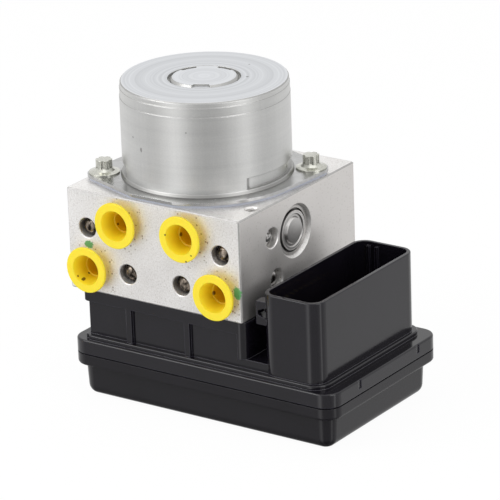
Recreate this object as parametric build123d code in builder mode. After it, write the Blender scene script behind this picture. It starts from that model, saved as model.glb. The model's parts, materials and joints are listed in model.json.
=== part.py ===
from build123d import *
from math import cos, radians, sin, sqrt
import os

os.makedirs("parts", exist_ok=True)

# The motor's axis is Z and the cover's underside is Z = 0.
# The hydraulic ports face -Y and the connector stands on the +X side. Millimetres.

# Valve block
block_length = 76.0
block_front = 35.4  # motor axis to the face with the ports
block_back = 39.1
block_height = 38.7
block_edge = 0.4
block_corner = 0.8

# Housing and cover, measured from the motor axis
flange_left = 38.0
flange_right = 76.8
flange_front = 37.8
flange_back = 34.6
flange_corner_round = 6.5
flange_edge = 0.7
parting_groove_height = 0.5
parting_groove_depth = 0.8
least_corner = 1.0  # inner outlines keep at least this corner radius
moulded_wall = 2.5

# Heights, stacked from the cover's underside to the top of the motor
cover_depth = 12.75
cover_flange_height = 4.5
housing_flange_height = 5.75
ring_height = 1.6
seat_height = 19.1  # housing flange to the block's underside
gasket_thickness = 1.1
plate_thickness = 1.1
can_height = 35.6

parting_z = cover_depth + cover_flange_height
flange_top_z = parting_z + housing_flange_height
ring_top_z = flange_top_z + ring_height
block_base_z = flange_top_z + seat_height
block_top_z = block_base_z + block_height
gasket_top_z = block_top_z + gasket_thickness
plate_top_z = gasket_top_z + plate_thickness
can_top_z = plate_top_z + can_height

# Cover
cover_inset = 3.1
cover_left_inset = 2.3
cover_corner_round = 5.0
cover_draft = 3.0
cover_bottom_round = 4.0
cover_flange_round = 1.2
cover_floor = 2.5

# Plinth of the housing, which carries the block
plinth_left = 32.75
plinth_right = 38.5
plinth_front = 35.0
plinth_back = 31.0
plinth_corner_round = 3.0
plinth_left_round = 0.8
plinth_wall = 4.6
panel_recess = 1.2
panel_side_recess = 1.4  # left end of the plinth, below the strip
panel_post_width = 2.3
panel_post_places = (-12.8, 13.1)  # centres of the two posts between the panels
panel_right_end = 35.2
seat_strip_height = 4.45
ring_front = 36.2
ring_right = 71.6
ring_back = 32.2
ring_edge = 0.5
ring_corner_round = 6.5
ring_left_round = 2.0
flange_notch_places = (-19.1, 19.5)
flange_notch_depth = 0.4
flange_notch_width = 2.0
flange_notch_height = 3.3
floor_thickness = 3.0

# Connector shroud
shroud_left = 45.5
shroud_right = 70.1
shroud_front = 35.0
shroud_back = 30.2
shroud_rim_z = 55.2
shroud_wall = 1.4
shroud_corner_round = 5.5
shroud_rim_round = 0.4
shroud_floor_z = 30.0
key_places = (50.5, 54.0)
key_width = 1.2
key_depth = 1.0
key_drop = 1.5
pocket_floor_z = 28.1
latch_front = 33.0
latch_length = 4.0
latch_width = 2.9
latch_bottom_z = 42.5
latch_height = 8.9
latch_skin = 0.6
latch_tip = 0.8
latch_slot = 4.0

# Motor
can_radius = 31.0
can_wall = 2.0
can_lip = 0.6
can_lip_edge = 0.25
can_lip_height = 1.4
can_edge = 0.4
can_step_places = (5.6, 2.1)  # below the top
can_top_inset = 0.4
can_step_depth = 0.15
can_recess_depth = 1.2
can_recess_top = 5.8  # above the flange plate
can_recess_start = -27.8
can_recess_end = 55.3
can_recess_ramp = 3.0
cap_well_radius = 13.4
cap_well_depth = 1.2
cap_radius = 12.5
cap_top_radius = 11.65
cap_height = 1.6
cap_rim_height = 0.55
cap_notch_width = 7.6
cap_notch_inner_width = 5.4
cap_notch_depth = 1.9
cap_notch_sink = 0.7
cap_notch_angles = (-61.0, 82.0, 156.0)
plate_margin = 5.0  # can to the plate's edge
plate_front_gap = 0.5  # plate's flat to the block's front face
plate_end_gap = 0.1  # the plate stays this far inside the block's ends
gasket_inset = 0.7
ear_radius = 6.2
screw_inset = 6.38  # end of the block to the screw
screw_can_gap = 0.37  # screw's washer to the can's lip

# Motor screws
screw_shank_radius = 2.5
screw_length = 16.0
screw_washer_radius = 5.73
screw_washer_height = 1.1
screw_head_radius = 3.05
screw_head_height = 4.0
screw_flute_radius = 0.95
screw_flute_depth = 0.6
screw_flare_radius = 4.0
screw_flare_height = 1.2
screw_clearance = 0.2

# Motor inside
shaft_radius = 3.0
bearing_radius = 9.5
bearing_width = 6.0
bearing_ball_radius = 1.6
bearing_fit = 0.02
bearing_gap = 0.4
shield_depth = 0.4
seat_wall = 1.6
seat_lip = 0.8
hub_radius = 12.0
hub_depth = 7.0
magnet_gap = 0.1
magnet_thickness = 4.5
magnet_height = 20.0
magnet_spacing = 5.0
air_gap = 0.5
core_height = 14.0
core_rise = 12.0  # flange plate to the core
core_slots = 12
core_slot_width = 3.2
core_slot_mouth = 1.1
slot_foot_radius = 12.8
tooth_tip = 1.9
winding_head = 3.2
winding_gap = 0.3
commutator_radius = 8.5
commutator_height = 7.0
commutator_bars = 12
commutator_rise = 1.3
commutator_slot = 0.6
holder_thickness = 1.8
holder_gap = 0.3
holder_bore_gap = 1.7
guide_wall = 1.0
brush_length = 8.0
brush_width = 4.5
brush_height = 4.5
brush_gap = 0.15

# Pump
pump_height = 24.2  # block's underside to the pump bores
eccentricity = 0.75
eccentric_radius = 5.0
eccentric_width = 8.0
eccentric_bearing_radius = 8.0
eccentric_clearance = 0.15
eccentric_side = 0.4
shaft_stub = 0.8
chamber_radius = 12.1
chamber_floor_gap = 3.5  # end of the shaft to the chamber's floor
piston_radius = 4.0
piston_length = 14.0
piston_fit = 0.03
piston_edge = 0.4
piston_nose = 2.0
piston_nose_radius = 2.2
pump_spring_radius = 3.1
piston_bore_end = 21.0  # motor axis to the step in the pump bore
plug_bore_radius = 6.95
plug_fit = 0.03
plug_length = 6.5
plug_sink = 0.4  # face of the block to the plug's raised centre
plug_dish = 0.9
plug_centre_radius = 4.6
plug_dish_inner = 5.2
plug_dish_outer = 5.9
plug_rim_radius = 6.2
plug_rim_drop = 0.5
plug_cavity_radius = 4.6
plug_cavity_depth = 4.5
counterbore_radius = 10.1
counterbore_floor_radius = 9.3
counterbore_depth = 1.4
stake_groove_radius = 8.2
stake_lip_radius = 7.4
stake_groove_depth = 0.7
stake_lip_rise = 0.5

# Hydraulic ports and the plugs in them
port_radius = 4.9
port_depth = 13.0
port_chamfer = 0.7
upper_port_x = 14.3
upper_port_height = 28.9
lower_port_x = 28.1
lower_port_height = 9.4
port_flange_radius = 8.62
port_flange_stand = 3.87  # block face to the plug's outer face
port_flange_thickness = 0.95
port_plug_neck = 6.5
port_plug_mouth = 5.75
port_plug_fit = 0.05
port_plug_length = 8.0
port_plug_wall = 0.65
port_plug_step = 2.1
port_plug_ledge = 0.45
port_plug_taper = 0.3
port_flange_edge = 0.2

# Ball plugs: the drilled passages that they close
ball_hole_radius = 3.75
ball_hole_chamfer = 0.3
ball_sink = 0.9
ball_fit = 0.05
passage_radius = 1.5
front_ball_places = ((29.3, 24.4, 20.4), (11.8, 9.6, 24.4))  # x, height, reach inwards
side_ball_places = ((-15.0, 26.2, 18.0), (-12.6, 10.0, 27.5))  # y, height, reach inwards

# Valves and their coils
valve_x = 10.5
valve_y = 11.0
valve_collar_radius = 5.2
valve_collar_height = 5.0
valve_seat_radius = 3.6
valve_seat_height = 12.5
valve_seat_rise = 1.9
valve_top_gap = 0.5
valve_hole_radius = 1.0
dome_wall = 1.2
valve_dome_radius = 3.5
valve_dome_length = 16.0
valve_bore_radius = 2.7
valve_armature_fit = 0.06
valve_armature_length = 10.0
valve_pin_radius = 0.8
inlet_pin_gap = 0.8
outlet_pin_gap = 0.3
armature_gap = 1.2
valve_press = 0.03
coil_radius = 8.6
coil_gap = 0.25
coil_top_gap = 0.5
coil_flange = 1.4
coil_window = 1.2
coil_pin_radius = 0.4
coil_pin_spread = 5.5

# Accumulators
accumulator_x = 22.5
accumulator_y = 21.0
accumulator_radius = 7.0
accumulator_depth = 15.0
accumulator_cap_height = 2.2
accumulator_piston_height = 5.0
accumulator_fit = 0.04
accumulator_top_gap = 0.5
accumulator_cup = 2.5
accumulator_cup_radius = 5.4
accumulator_dish = 0.6
accumulator_spring_radius = 4.4
spring_wire = 0.55
spring_turns = 4

# Circuit board, connector pins and terminals
board_thickness = 1.6
board_gap = 1.9  # housing floor to the board
board_margin = 0.8
board_foot_radius = 2.2
board_foot_places = (26.0, 24.0)  # each side of the flange's middle
pin_width = 0.8
pin_pitch = 3.0
pin_rows = (55.0, 60.5)
pin_count = 12
pin_reach = 14.0
blade_width = 4.8
blade_x = 57.75
blade_first_y = -27.5
blade_pitch = 7.5
pin_first_y = -14.0
terminal_x = 3.5
terminal_y = 22.0
terminal_radius = 1.9
terminal_pin_radius = 0.8
terminal_fit = 0.1
pin_fit = 0.1
pin_stub = 0.6
board_blocks = (
    (36.0, -6.0, 14.0, 14.0, 1.6),
    (36.0, 12.0, 10.0, 10.0, 1.6),
    (-24.0, -4.0, 9.0, 15.0, 8.5),
    (-8.0, -22.0, 6.5, 9.0, 2.3),
    (0.0, -22.0, 6.5, 9.0, 2.3),
    (8.0, -22.0, 6.5, 9.0, 2.3),
    (16.0, -22.0, 6.5, 9.0, 2.3),
)  # x, y, length, width, height
capacitor_places = ((30.0, -22.0), (42.0, -22.0))
capacitor_radius = 5.0
capacitor_height = 9.5

# Screws from the housing into the block
housing_screw_places = ((-25.0, -14.0), (25.0, -14.0), (-11.0, 24.5), (11.0, 24.5))
housing_screw_radius = 1.6
housing_screw_reach = 7.5
housing_screw_head = 2.9
housing_screw_head_height = 2.0
housing_screw_fit = 0.15
head_well_gap = 0.2
boss_wall = 0.8

# Threaded mounting hole in the block's top
mounting_x = 34.3
mounting_y = -21.8
mounting_radius = 2.1
mounting_chamfer = 0.6
mounting_depth = 12.0

# Seals
seal_width = 1.2
seal_depth = 0.8
flange_seal_inset = 2.0
plinth_seal_inset = 1.7

# Drilled holes and cuts
drill_cone = 0.5  # depth of a drill's cone for each millimetre of radius
cut_margin = 1.0  # how far a cut starts outside the face

# Places that several pieces share
pump_z = block_base_z + pump_height
floor_z = flange_top_z
floor_under_z = floor_z - floor_thickness
board_top_z = floor_under_z - board_gap
board_under_z = board_top_z - board_thickness
flange_x = (flange_right - flange_left) / 2
flange_y = (flange_back - flange_front) / 2
half_block = block_length / 2
chamber_inset = cover_inset + moulded_wall
pocket_front = plinth_front - panel_recess
can_top_radius = can_radius - can_top_inset
plate_radius = can_radius + plate_margin
plate_flat = block_front - plate_front_gap
plate_end = half_block - plate_end_gap
chamber_depth = block_height - pump_height + eccentric_width / 2 + shaft_stub + chamber_floor_gap
ball_radius = ball_hole_radius - ball_fit
ball_depth = ball_sink + ball_radius
ball_hole_depth = ball_depth + sqrt(ball_radius**2 - passage_radius**2) + ball_fit
head_well_depth = housing_screw_head_height + head_well_gap
housing_screw_length = block_base_z - floor_under_z - head_well_depth + housing_screw_reach
block_screw_start = gasket_thickness + plate_thickness
core_base_z = plate_top_z + core_rise
commutator_base_z = plate_top_z + commutator_rise
screw_circle = can_radius + can_lip + screw_can_gap + screw_washer_radius
screw_x = half_block - screw_inset
screw_y = sqrt(screw_circle**2 - screw_x**2)
screw_places = [(screw_x, screw_y), (-screw_x, -screw_y)]
valve_places = [
    ("inlet_valve_left", -valve_x, -valve_y),
    ("inlet_valve_right", valve_x, -valve_y),
    ("outlet_valve_left", -valve_x, valve_y),
    ("outlet_valve_right", valve_x, valve_y),
]
accumulator_places = [("left", -accumulator_x), ("right", accumulator_x)]
port_places = [
    ("port_plug_upper_left", -upper_port_x, block_base_z + upper_port_height),
    ("port_plug_upper_right", upper_port_x, block_base_z + upper_port_height),
    ("port_plug_lower_left", -lower_port_x, block_base_z + lower_port_height),
    ("port_plug_lower_right", lower_port_x, block_base_z + lower_port_height),
]
coil_pin_places = [
    (x + side * coil_pin_spread, y) for _, x, y in valve_places for side in (-1, 1)
]
terminal_places = [(-terminal_x, terminal_y), (terminal_x, terminal_y)]
pin_places = [(x, pin_first_y + i * pin_pitch) for x in pin_rows for i in range(pin_count)]
blade_places = [(blade_x, blade_first_y), (blade_x, blade_first_y + blade_pitch)]
board_feet = [
    (flange_x + i * board_foot_places[0], flange_y + j * board_foot_places[1])
    for i in (-1, 1)
    for j in (-1, 1)
]


def upright(x, y, z):
    """Plane for a turned profile: local X is the radius, local Y runs up from z."""
    return Plane(origin=(x, y, z), x_dir=(1, 0, 0), z_dir=(0, -1, 0))


def sideways(x, y, z, side):
    """Plane for a turned profile whose local Y runs outwards along X on the given side."""
    return Plane(origin=(x, y, z), x_dir=(0, 0, 1), z_dir=(0, side, 0))


def forwards(x, y, z):
    """Plane for a turned profile whose local Y runs out of the block's front face."""
    return Plane(origin=(x, y, z), x_dir=(1, 0, 0), z_dir=(0, 0, -1))


def ring_of(outline, z, inset):
    """Band as wide as a seal, with its outer edge inset from the outline."""
    return outline(z, inset) - outline(z, inset + seal_width)


def turning_axis(plane):
    return Axis(plane.origin, plane.y_dir)


def section(plane, *corners):
    """Closed face through the given corners of the plane."""
    with BuildSketch(plane) as face:
        with BuildLine():
            Polyline(*corners, close=True)
        make_face()
    return face.sketch


def rounded_outline(z, left, front, right, back, rounding):
    """Rectangle between four sides, with rounded corners."""
    with BuildSketch(Plane.XY.offset(z)) as outline:
        with Locations(((left + right) / 2, (front + back) / 2)):
            RectangleRounded(right - left, back - front, rounding)
    return outline.sketch


def flange_outline(z, inset=0.0):
    """The housing's flange outline, moved inwards by inset."""
    return rounded_outline(
        z,
        -flange_left + inset,
        -flange_front + inset,
        flange_right - inset,
        flange_back - inset,
        max(flange_corner_round - inset, least_corner),
    )


def tray_outline(z):
    """The tray's outline, nearer to the flange's edge at the left end."""
    return rounded_outline(
        z,
        -flange_left + cover_left_inset,
        -flange_front + cover_inset,
        flange_right - cover_inset,
        flange_back - cover_inset,
        cover_corner_round,
    )


def shroud_outline(z, inset=0.0):
    """The connector shroud's outline, moved inwards by inset."""
    return rounded_outline(
        z,
        shroud_left + inset,
        -shroud_front + inset,
        shroud_right - inset,
        shroud_back - inset,
        max(shroud_corner_round - inset, least_corner),
    )


def plinth_outline(z, inset=0.0):
    """The rounded rectangle under the block, moved inwards by inset."""
    with BuildSketch(Plane.XY.offset(z)) as outline:
        with Locations(((plinth_right - plinth_left) / 2, (plinth_back - plinth_front) / 2)):
            Rectangle(
                plinth_left + plinth_right - 2 * inset,
                plinth_front + plinth_back - 2 * inset,
            )
        fillet(outline.vertices().group_by(Axis.X)[-1], max(plinth_corner_round - inset, least_corner))
        fillet(outline.vertices().group_by(Axis.X)[0], plinth_left_round)
    return outline.sketch


def motor_outline(z, inset=0.0):
    """Round plate with an ear at each screw, a flat at the front and back, and within the block."""
    with BuildSketch(Plane.XY.offset(z)) as outline:
        Circle(plate_radius - inset)
        with Locations(*screw_places):
            Circle(ear_radius - inset)
        make_hull()
        Rectangle(2 * (plate_end - inset), 2 * (plate_flat - inset), mode=Mode.INTERSECT)
    return outline.sketch


def recess_outline(start, end):
    """Band cut into the foot of the can between two angles, with ramps at its ends."""
    def point(radius, angle):
        return (radius * cos(radians(angle)), radius * sin(radians(angle)))

    floor_radius = can_radius - can_recess_depth
    middle = (start + end) / 2
    outside = can_radius + can_lip
    with BuildSketch() as outline:
        with BuildLine():
            Line(point(can_radius, start), point(floor_radius, start + can_recess_ramp))
            ThreePointArc(
                point(floor_radius, start + can_recess_ramp),
                point(floor_radius, middle),
                point(floor_radius, end - can_recess_ramp),
            )
            Line(point(floor_radius, end - can_recess_ramp), point(can_radius, end))
            Line(point(can_radius, end), point(outside, end))
            ThreePointArc(point(outside, end), point(outside, middle), point(outside, start))
            Line(point(outside, start), point(can_radius, start))
        make_face()
    return outline.sketch


def helix_spring(start, direction, radius, length):
    """Compression spring of round wire that stands on the start point."""
    rise = length - 2 * spring_wire
    with BuildPart() as spring:
        with BuildLine() as coil:
            Helix(
                pitch=rise / spring_turns,
                height=rise,
                radius=radius,
                center=Vector(start) + Vector(direction) * spring_wire,
                direction=direction,
            )
        with BuildSketch(Plane(coil.line @ 0, z_dir=coil.line % 0)):
            RegularPolygon(spring_wire, 6)
        sweep(is_frenet=True)
    return spring.part


ball_places = [
    (forwards(side * x, -block_front, block_base_z + height), reach)
    for x, height, reach in front_ball_places
    for side in (-1, 1)
] + [
    (sideways(half_block, y, block_base_z + height, 1), reach)
    for y, height, reach in side_ball_places
]

# Cover: a shallow tray under the housing
with BuildPart() as ecu_cover:
    extrude(flange_outline(cover_depth), amount=cover_flange_height)
    fillet(ecu_cover.faces().sort_by(Axis.Z)[0].edges(), cover_flange_round)
    extrude(tray_outline(cover_depth), amount=-cover_depth, taper=cover_draft)
    fillet(ecu_cover.faces().sort_by(Axis.Z)[0].edges(), cover_bottom_round)
    extrude(
        flange_outline(parting_z, chamber_inset),
        amount=-(parting_z - cover_floor),
        taper=cover_draft,
        mode=Mode.SUBTRACT,
    )
    extrude(
        ring_of(flange_outline, parting_z, flange_seal_inset),
        amount=-seal_depth,
        mode=Mode.SUBTRACT,
    )
ecu_cover.part.label = "ecu_cover"
export_step(ecu_cover.part, "parts/ecu_cover.step")

# Bead that closes the joint between cover and housing
with BuildPart() as cover_seal:
    extrude(ring_of(flange_outline, parting_z, flange_seal_inset), amount=-seal_depth)
cover_seal.part.label = "cover_seal"
export_step(cover_seal.part, "parts/cover_seal.step")

# Housing: flange, plinth with its panels, connector shroud and latch rib in one moulding
strip_z = block_base_z - seat_strip_height
half_post = panel_post_width / 2
panel_spans = [
    (-plinth_left - cut_margin, panel_post_places[0] - half_post, ring_top_z, strip_z),
    (panel_post_places[0] + half_post, panel_post_places[1] - half_post, ring_top_z, strip_z),
    (panel_post_places[1] + half_post, panel_right_end, ring_top_z, strip_z),
    (panel_right_end, shroud_left, ring_top_z, pocket_floor_z),
]
wall_left = plinth_left - panel_side_recess
latch_left = shroud_left - latch_width
latch_right = shroud_left + shroud_corner_round  # inside the shroud, which its interior cuts off
latch_middle_z = latch_bottom_z + latch_height / 2
with BuildPart() as ecu_housing:
    extrude(flange_outline(parting_z), amount=housing_flange_height)
    fillet(ecu_housing.faces().sort_by(Axis.Z)[-1].edges(), flange_edge)
    # Parting groove between the two flanges
    extrude(
        flange_outline(parting_z) - flange_outline(parting_z, parting_groove_depth),
        amount=parting_groove_height,
        mode=Mode.SUBTRACT,
    )
    with Locations(*[(flange_right, y, flange_top_z) for y in flange_notch_places]):
        Box(2 * flange_notch_depth, flange_notch_width, 2 * flange_notch_height, mode=Mode.SUBTRACT)
    # Ring: a raised step round the foot of the plinth and the shroud
    with BuildSketch(Plane.XY.offset(flange_top_z)) as ring:
        with Locations(((ring_right - wall_left) / 2, (ring_back - ring_front) / 2)):
            Rectangle(ring_right + wall_left, ring_back + ring_front)
        fillet(ring.vertices().group_by(Axis.X)[-1], ring_corner_round)
        fillet(ring.vertices().group_by(Axis.X)[0], ring_left_round)
    extrude(amount=ring_height)
    fillet(ecu_housing.faces().sort_by(Axis.Z)[-1].edges(), ring_edge)
    extrude(plinth_outline(flange_top_z), amount=seat_height)
    # Left end: the wall steps in below the strip, whose lower edge is rounded
    with BuildSketch(Plane.XZ.offset(plinth_front + cut_margin)) as left_end:
        with BuildLine():
            Polyline(
                (-plinth_left, strip_z + panel_side_recess),
                (-plinth_left - cut_margin, strip_z + panel_side_recess),
                (-plinth_left - cut_margin, ring_top_z),
                (-wall_left, ring_top_z),
                (-wall_left, strip_z),
            )
            RadiusArc(
                (-wall_left, strip_z),
                (-plinth_left, strip_z + panel_side_recess),
                panel_side_recess,
            )
        make_face()
    extrude(amount=-(plinth_front + plinth_back + 2 * cut_margin), mode=Mode.SUBTRACT)
    # Panels
    for left, right, low, high in panel_spans:
        with BuildSketch(Plane.XZ.offset(plinth_front + cut_margin)) as panel:
            with Locations(((left + right) / 2, (low + high) / 2)):
                Rectangle(right - left, high - low)
        extrude(amount=-(panel_recess + cut_margin), mode=Mode.SUBTRACT)
    # Floor of the pocket between the plinth and the shroud
    with BuildSketch(Plane.XY.offset(flange_top_z)) as pocket_floor:
        with Locations(((panel_right_end + latch_right) / 2, (shroud_back - pocket_front) / 2)):
            Rectangle(latch_right - panel_right_end, shroud_back + pocket_front)
    extrude(amount=pocket_floor_z - flange_top_z)
    # Shroud
    extrude(shroud_outline(flange_top_z), amount=shroud_rim_z - flange_top_z)
    fillet(ecu_housing.faces().sort_by(Axis.Z)[-1].edges(), shroud_rim_round)
    # Latch rib: an arrow-shaped slot between a skin and the shroud's wall
    with BuildSketch(Plane.XZ.offset(latch_front)) as latch:
        with BuildLine():
            Polyline(
                (latch_left, latch_bottom_z),
                (latch_left, latch_bottom_z + latch_height),
                (latch_right, latch_bottom_z + latch_height),
                (latch_right, latch_middle_z + latch_slot),
                (latch_left + latch_skin, latch_middle_z + latch_tip),
                (latch_left + latch_skin, latch_middle_z - latch_tip),
                (latch_right, latch_middle_z - latch_slot),
                (latch_right, latch_bottom_z),
                close=True,
            )
        make_face()
    extrude(amount=-latch_length)
    extrude(
        shroud_outline(shroud_floor_z, shroud_wall),
        amount=shroud_rim_z - shroud_floor_z,
        mode=Mode.SUBTRACT,
    )
    # Keying ribs at the back of the shroud
    with BuildSketch(Plane.XY.offset(shroud_floor_z)) as keys:
        with Locations(*[(x, shroud_back - shroud_wall) for x in key_places]):
            Rectangle(key_width, 2 * key_depth)
    extrude(amount=shroud_rim_z - shroud_floor_z - key_drop)
    # Room for the coils above the floor and for the board below it
    extrude(plinth_outline(floor_z, plinth_wall), amount=seat_height, mode=Mode.SUBTRACT)
    extrude(
        flange_outline(parting_z, chamber_inset),
        amount=floor_under_z - parting_z,
        mode=Mode.SUBTRACT,
    )
    extrude(
        shroud_outline(floor_under_z, moulded_wall),
        amount=shroud_floor_z - moulded_wall - floor_under_z,
        mode=Mode.SUBTRACT,
    )
    # Screw bosses, board feet, seal groove
    with BuildSketch(Plane.XY.offset(floor_under_z)) as bosses:
        with Locations(*housing_screw_places):
            Circle(housing_screw_head + housing_screw_fit + boss_wall)
    extrude(amount=block_base_z - floor_under_z)
    with BuildSketch(Plane.XY.offset(floor_under_z)) as screw_holes:
        with Locations(*housing_screw_places):
            Circle(housing_screw_radius + housing_screw_fit)
    extrude(amount=seat_height + floor_thickness, mode=Mode.SUBTRACT)
    with BuildSketch(Plane.XY.offset(floor_under_z)) as head_wells:
        with Locations(*housing_screw_places):
            Circle(housing_screw_head + housing_screw_fit)
    extrude(amount=head_well_depth, mode=Mode.SUBTRACT)
    with BuildSketch(Plane.XY.offset(board_top_z)) as feet:
        with Locations(*board_feet):
            Circle(board_foot_radius)
    extrude(amount=board_gap)
    extrude(
        ring_of(plinth_outline, block_base_z, plinth_seal_inset),
        amount=-seal_depth,
        mode=Mode.SUBTRACT,
    )
    # Holes for what passes through the floor
    with BuildSketch(Plane.XY.offset(floor_under_z)) as pin_holes:
        with Locations(*coil_pin_places):
            Circle(coil_pin_radius + pin_fit)
        with Locations(*terminal_places):
            Circle(terminal_pin_radius + pin_fit)
    extrude(amount=floor_thickness, mode=Mode.SUBTRACT)
    with BuildSketch(Plane.XY.offset(floor_under_z)) as socket_holes:
        with Locations(*pin_places):
            Rectangle(pin_width, pin_width)
        with Locations(*blade_places):
            Rectangle(blade_width, pin_width)
    extrude(amount=shroud_floor_z - floor_under_z, mode=Mode.SUBTRACT)
ecu_housing.part.label = "ecu_housing"
export_step(ecu_housing.part, "parts/ecu_housing.step")

# Seal between the housing and the block
with BuildPart() as housing_seal:
    extrude(ring_of(plinth_outline, block_base_z, plinth_seal_inset), amount=-seal_depth)
housing_seal.part.label = "housing_seal"
export_step(housing_seal.part, "parts/housing_seal.step")

# Screws that hold the housing to the block
head_seat_z = floor_under_z + head_well_depth
with BuildPart() as housing_screws:
    for x, y in housing_screw_places:
        plane = upright(x, y, head_seat_z)
        revolve(
            section(
                plane,
                (0, -housing_screw_head_height / 2),
                (housing_screw_radius, -housing_screw_head_height / 2),
                (housing_screw_radius, -housing_screw_head_height),
                (housing_screw_head, -housing_screw_head_height),
                (housing_screw_head, 0),
                (housing_screw_radius, 0),
                (housing_screw_radius, housing_screw_length),
                (0, housing_screw_length),
            ),
            axis=turning_axis(plane),
        )
housing_screws.part.label = "housing_screws"
export_step(housing_screws.part, "parts/housing_screws.step")

# Circuit board, hung under the floor of the housing
with BuildPart() as circuit_board:
    extrude(flange_outline(board_under_z, chamber_inset + board_margin), amount=board_thickness)
    with BuildSketch(Plane.XY.offset(board_under_z)) as board_holes:
        with Locations(*coil_pin_places):
            Circle(coil_pin_radius + pin_fit)
        with Locations(*terminal_places):
            Circle(terminal_pin_radius + pin_fit)
        with Locations(*pin_places):
            Rectangle(pin_width, pin_width)
        with Locations(*blade_places):
            Rectangle(blade_width, pin_width)
    extrude(amount=board_thickness, mode=Mode.SUBTRACT)
circuit_board.part.label = "circuit_board"
export_step(circuit_board.part, "parts/circuit_board.step")

# Components under the board: processor, driver, relay, two capacitors and four transistors
with BuildPart() as board_components:
    for x, y, length, width, height in board_blocks:
        with BuildSketch(Plane.XY.offset(board_under_z)) as block_outline:
            with Locations((x, y)):
                Rectangle(length, width)
        extrude(amount=-height)
    with BuildSketch(Plane.XY.offset(board_under_z)) as capacitors:
        with Locations(*capacitor_places):
            Circle(capacitor_radius)
    extrude(amount=-capacitor_height)
board_components.part.label = "board_components"
export_step(board_components.part, "parts/board_components.step")

# Connector pins and blades, from the board up into the shroud
with BuildPart() as connector_pins:
    with BuildSketch(Plane.XY.offset(board_under_z - pin_stub)) as pins:
        with Locations(*pin_places):
            Rectangle(pin_width, pin_width)
        with Locations(*blade_places):
            Rectangle(blade_width, pin_width)
    extrude(amount=shroud_floor_z + pin_reach - board_under_z + pin_stub)
connector_pins.part.label = "connector_pins"
export_step(connector_pins.part, "parts/connector_pins.step")

# Valve block
with BuildPart() as valve_block:
    with BuildSketch(Plane.XY.offset(block_base_z)) as block_outline:
        with Locations((0, (block_back - block_front) / 2)):
            RectangleRounded(block_length, block_front + block_back, block_corner)
    extrude(amount=block_height)
    chamfer(valve_block.faces().sort_by(Axis.Z)[-1].edges(), block_edge)
    chamfer(valve_block.faces().sort_by(Axis.Z)[0].edges(), block_edge)
    # Chamber of the eccentric, open to the motor
    with BuildSketch(Plane.XY.offset(block_top_z)) as chamber:
        Circle(chamber_radius)
    extrude(amount=-chamber_depth, mode=Mode.SUBTRACT)
    # Pump bores with the counterbore and staking groove of each plug
    for side in (-1, 1):
        plane = sideways(0, 0, pump_z, side)
        revolve(
            section(
                plane,
                (0, chamber_radius / 2),
                (piston_radius + piston_fit, chamber_radius / 2),
                (piston_radius + piston_fit, piston_bore_end),
                (plug_bore_radius, piston_bore_end),
                (plug_bore_radius, half_block - counterbore_depth + stake_lip_rise),
                (stake_lip_radius, half_block - counterbore_depth + stake_lip_rise),
                (stake_lip_radius, half_block - counterbore_depth - stake_groove_depth),
                (stake_groove_radius, half_block - counterbore_depth - stake_groove_depth),
                (stake_groove_radius, half_block - counterbore_depth),
                (counterbore_floor_radius, half_block - counterbore_depth),
                (counterbore_radius, half_block),
                (counterbore_radius, half_block + cut_margin),
                (0, half_block + cut_margin),
            ),
            axis=turning_axis(plane),
            mode=Mode.SUBTRACT,
        )
    # Hydraulic ports
    for _, x, z in port_places:
        plane = forwards(x, -block_front, z)
        revolve(
            section(
                plane,
                (0, -port_depth - port_radius * drill_cone),
                (port_radius, -port_depth),
                (port_radius, -port_chamfer),
                (port_radius + port_chamfer, 0),
                (port_radius + port_chamfer, cut_margin),
                (0, cut_margin),
            ),
            axis=turning_axis(plane),
            mode=Mode.SUBTRACT,
        )
    # Drilled passages behind the ball plugs
    for plane, reach in ball_places:
        revolve(
            section(
                plane,
                (0, -reach),
                (passage_radius, -reach),
                (passage_radius, -ball_hole_depth),
                (ball_hole_radius, -ball_hole_depth),
                (ball_hole_radius, -ball_hole_chamfer),
                (ball_hole_radius + ball_hole_chamfer, 0),
                (ball_hole_radius + ball_hole_chamfer, cut_margin),
                (0, cut_margin),
            ),
            axis=turning_axis(plane),
            mode=Mode.SUBTRACT,
        )
    # Stepped valve bores and the accumulator bores, from below
    for _, x, y in valve_places:
        plane = upright(x, y, block_base_z)
        revolve(
            section(
                plane,
                (0, -cut_margin),
                (valve_collar_radius, -cut_margin),
                (valve_collar_radius, valve_collar_height),
                (valve_seat_radius, valve_collar_height),
                (valve_seat_radius, valve_seat_height + valve_top_gap),
                (0, valve_seat_height + valve_top_gap),
            ),
            axis=turning_axis(plane),
            mode=Mode.SUBTRACT,
        )
    with BuildSketch(Plane.XY.offset(block_base_z)) as accumulator_bores:
        with Locations(*[(x, accumulator_y) for _, x in accumulator_places]):
            Circle(accumulator_radius)
    extrude(amount=accumulator_depth, mode=Mode.SUBTRACT)
    # Terminal holes right through, screw holes from above and below
    with BuildSketch(Plane.XY.offset(block_base_z)) as terminal_holes:
        with Locations(*terminal_places):
            Circle(terminal_radius + terminal_fit)
    extrude(amount=block_height, mode=Mode.SUBTRACT)
    with BuildSketch(Plane.XY.offset(block_base_z)) as housing_screw_holes:
        with Locations(*housing_screw_places):
            Circle(housing_screw_radius)
    extrude(amount=housing_screw_reach + cut_margin, mode=Mode.SUBTRACT)
    with BuildSketch(Plane.XY.offset(block_top_z)) as motor_screw_holes:
        with Locations(*screw_places):
            Circle(screw_shank_radius)
    extrude(amount=-(screw_length - block_screw_start + cut_margin), mode=Mode.SUBTRACT)
    # Threaded mounting hole with its chamfer
    plane = upright(mounting_x, mounting_y, block_top_z)
    revolve(
        section(
            plane,
            (0, -mounting_depth - mounting_radius * drill_cone),
            (mounting_radius, -mounting_depth),
            (mounting_radius, -mounting_chamfer),
            (mounting_radius + mounting_chamfer, 0),
            (mounting_radius + mounting_chamfer, cut_margin),
            (0, cut_margin),
        ),
        axis=turning_axis(plane),
        mode=Mode.SUBTRACT,
    )
valve_block.part.label = "valve_block"
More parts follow.
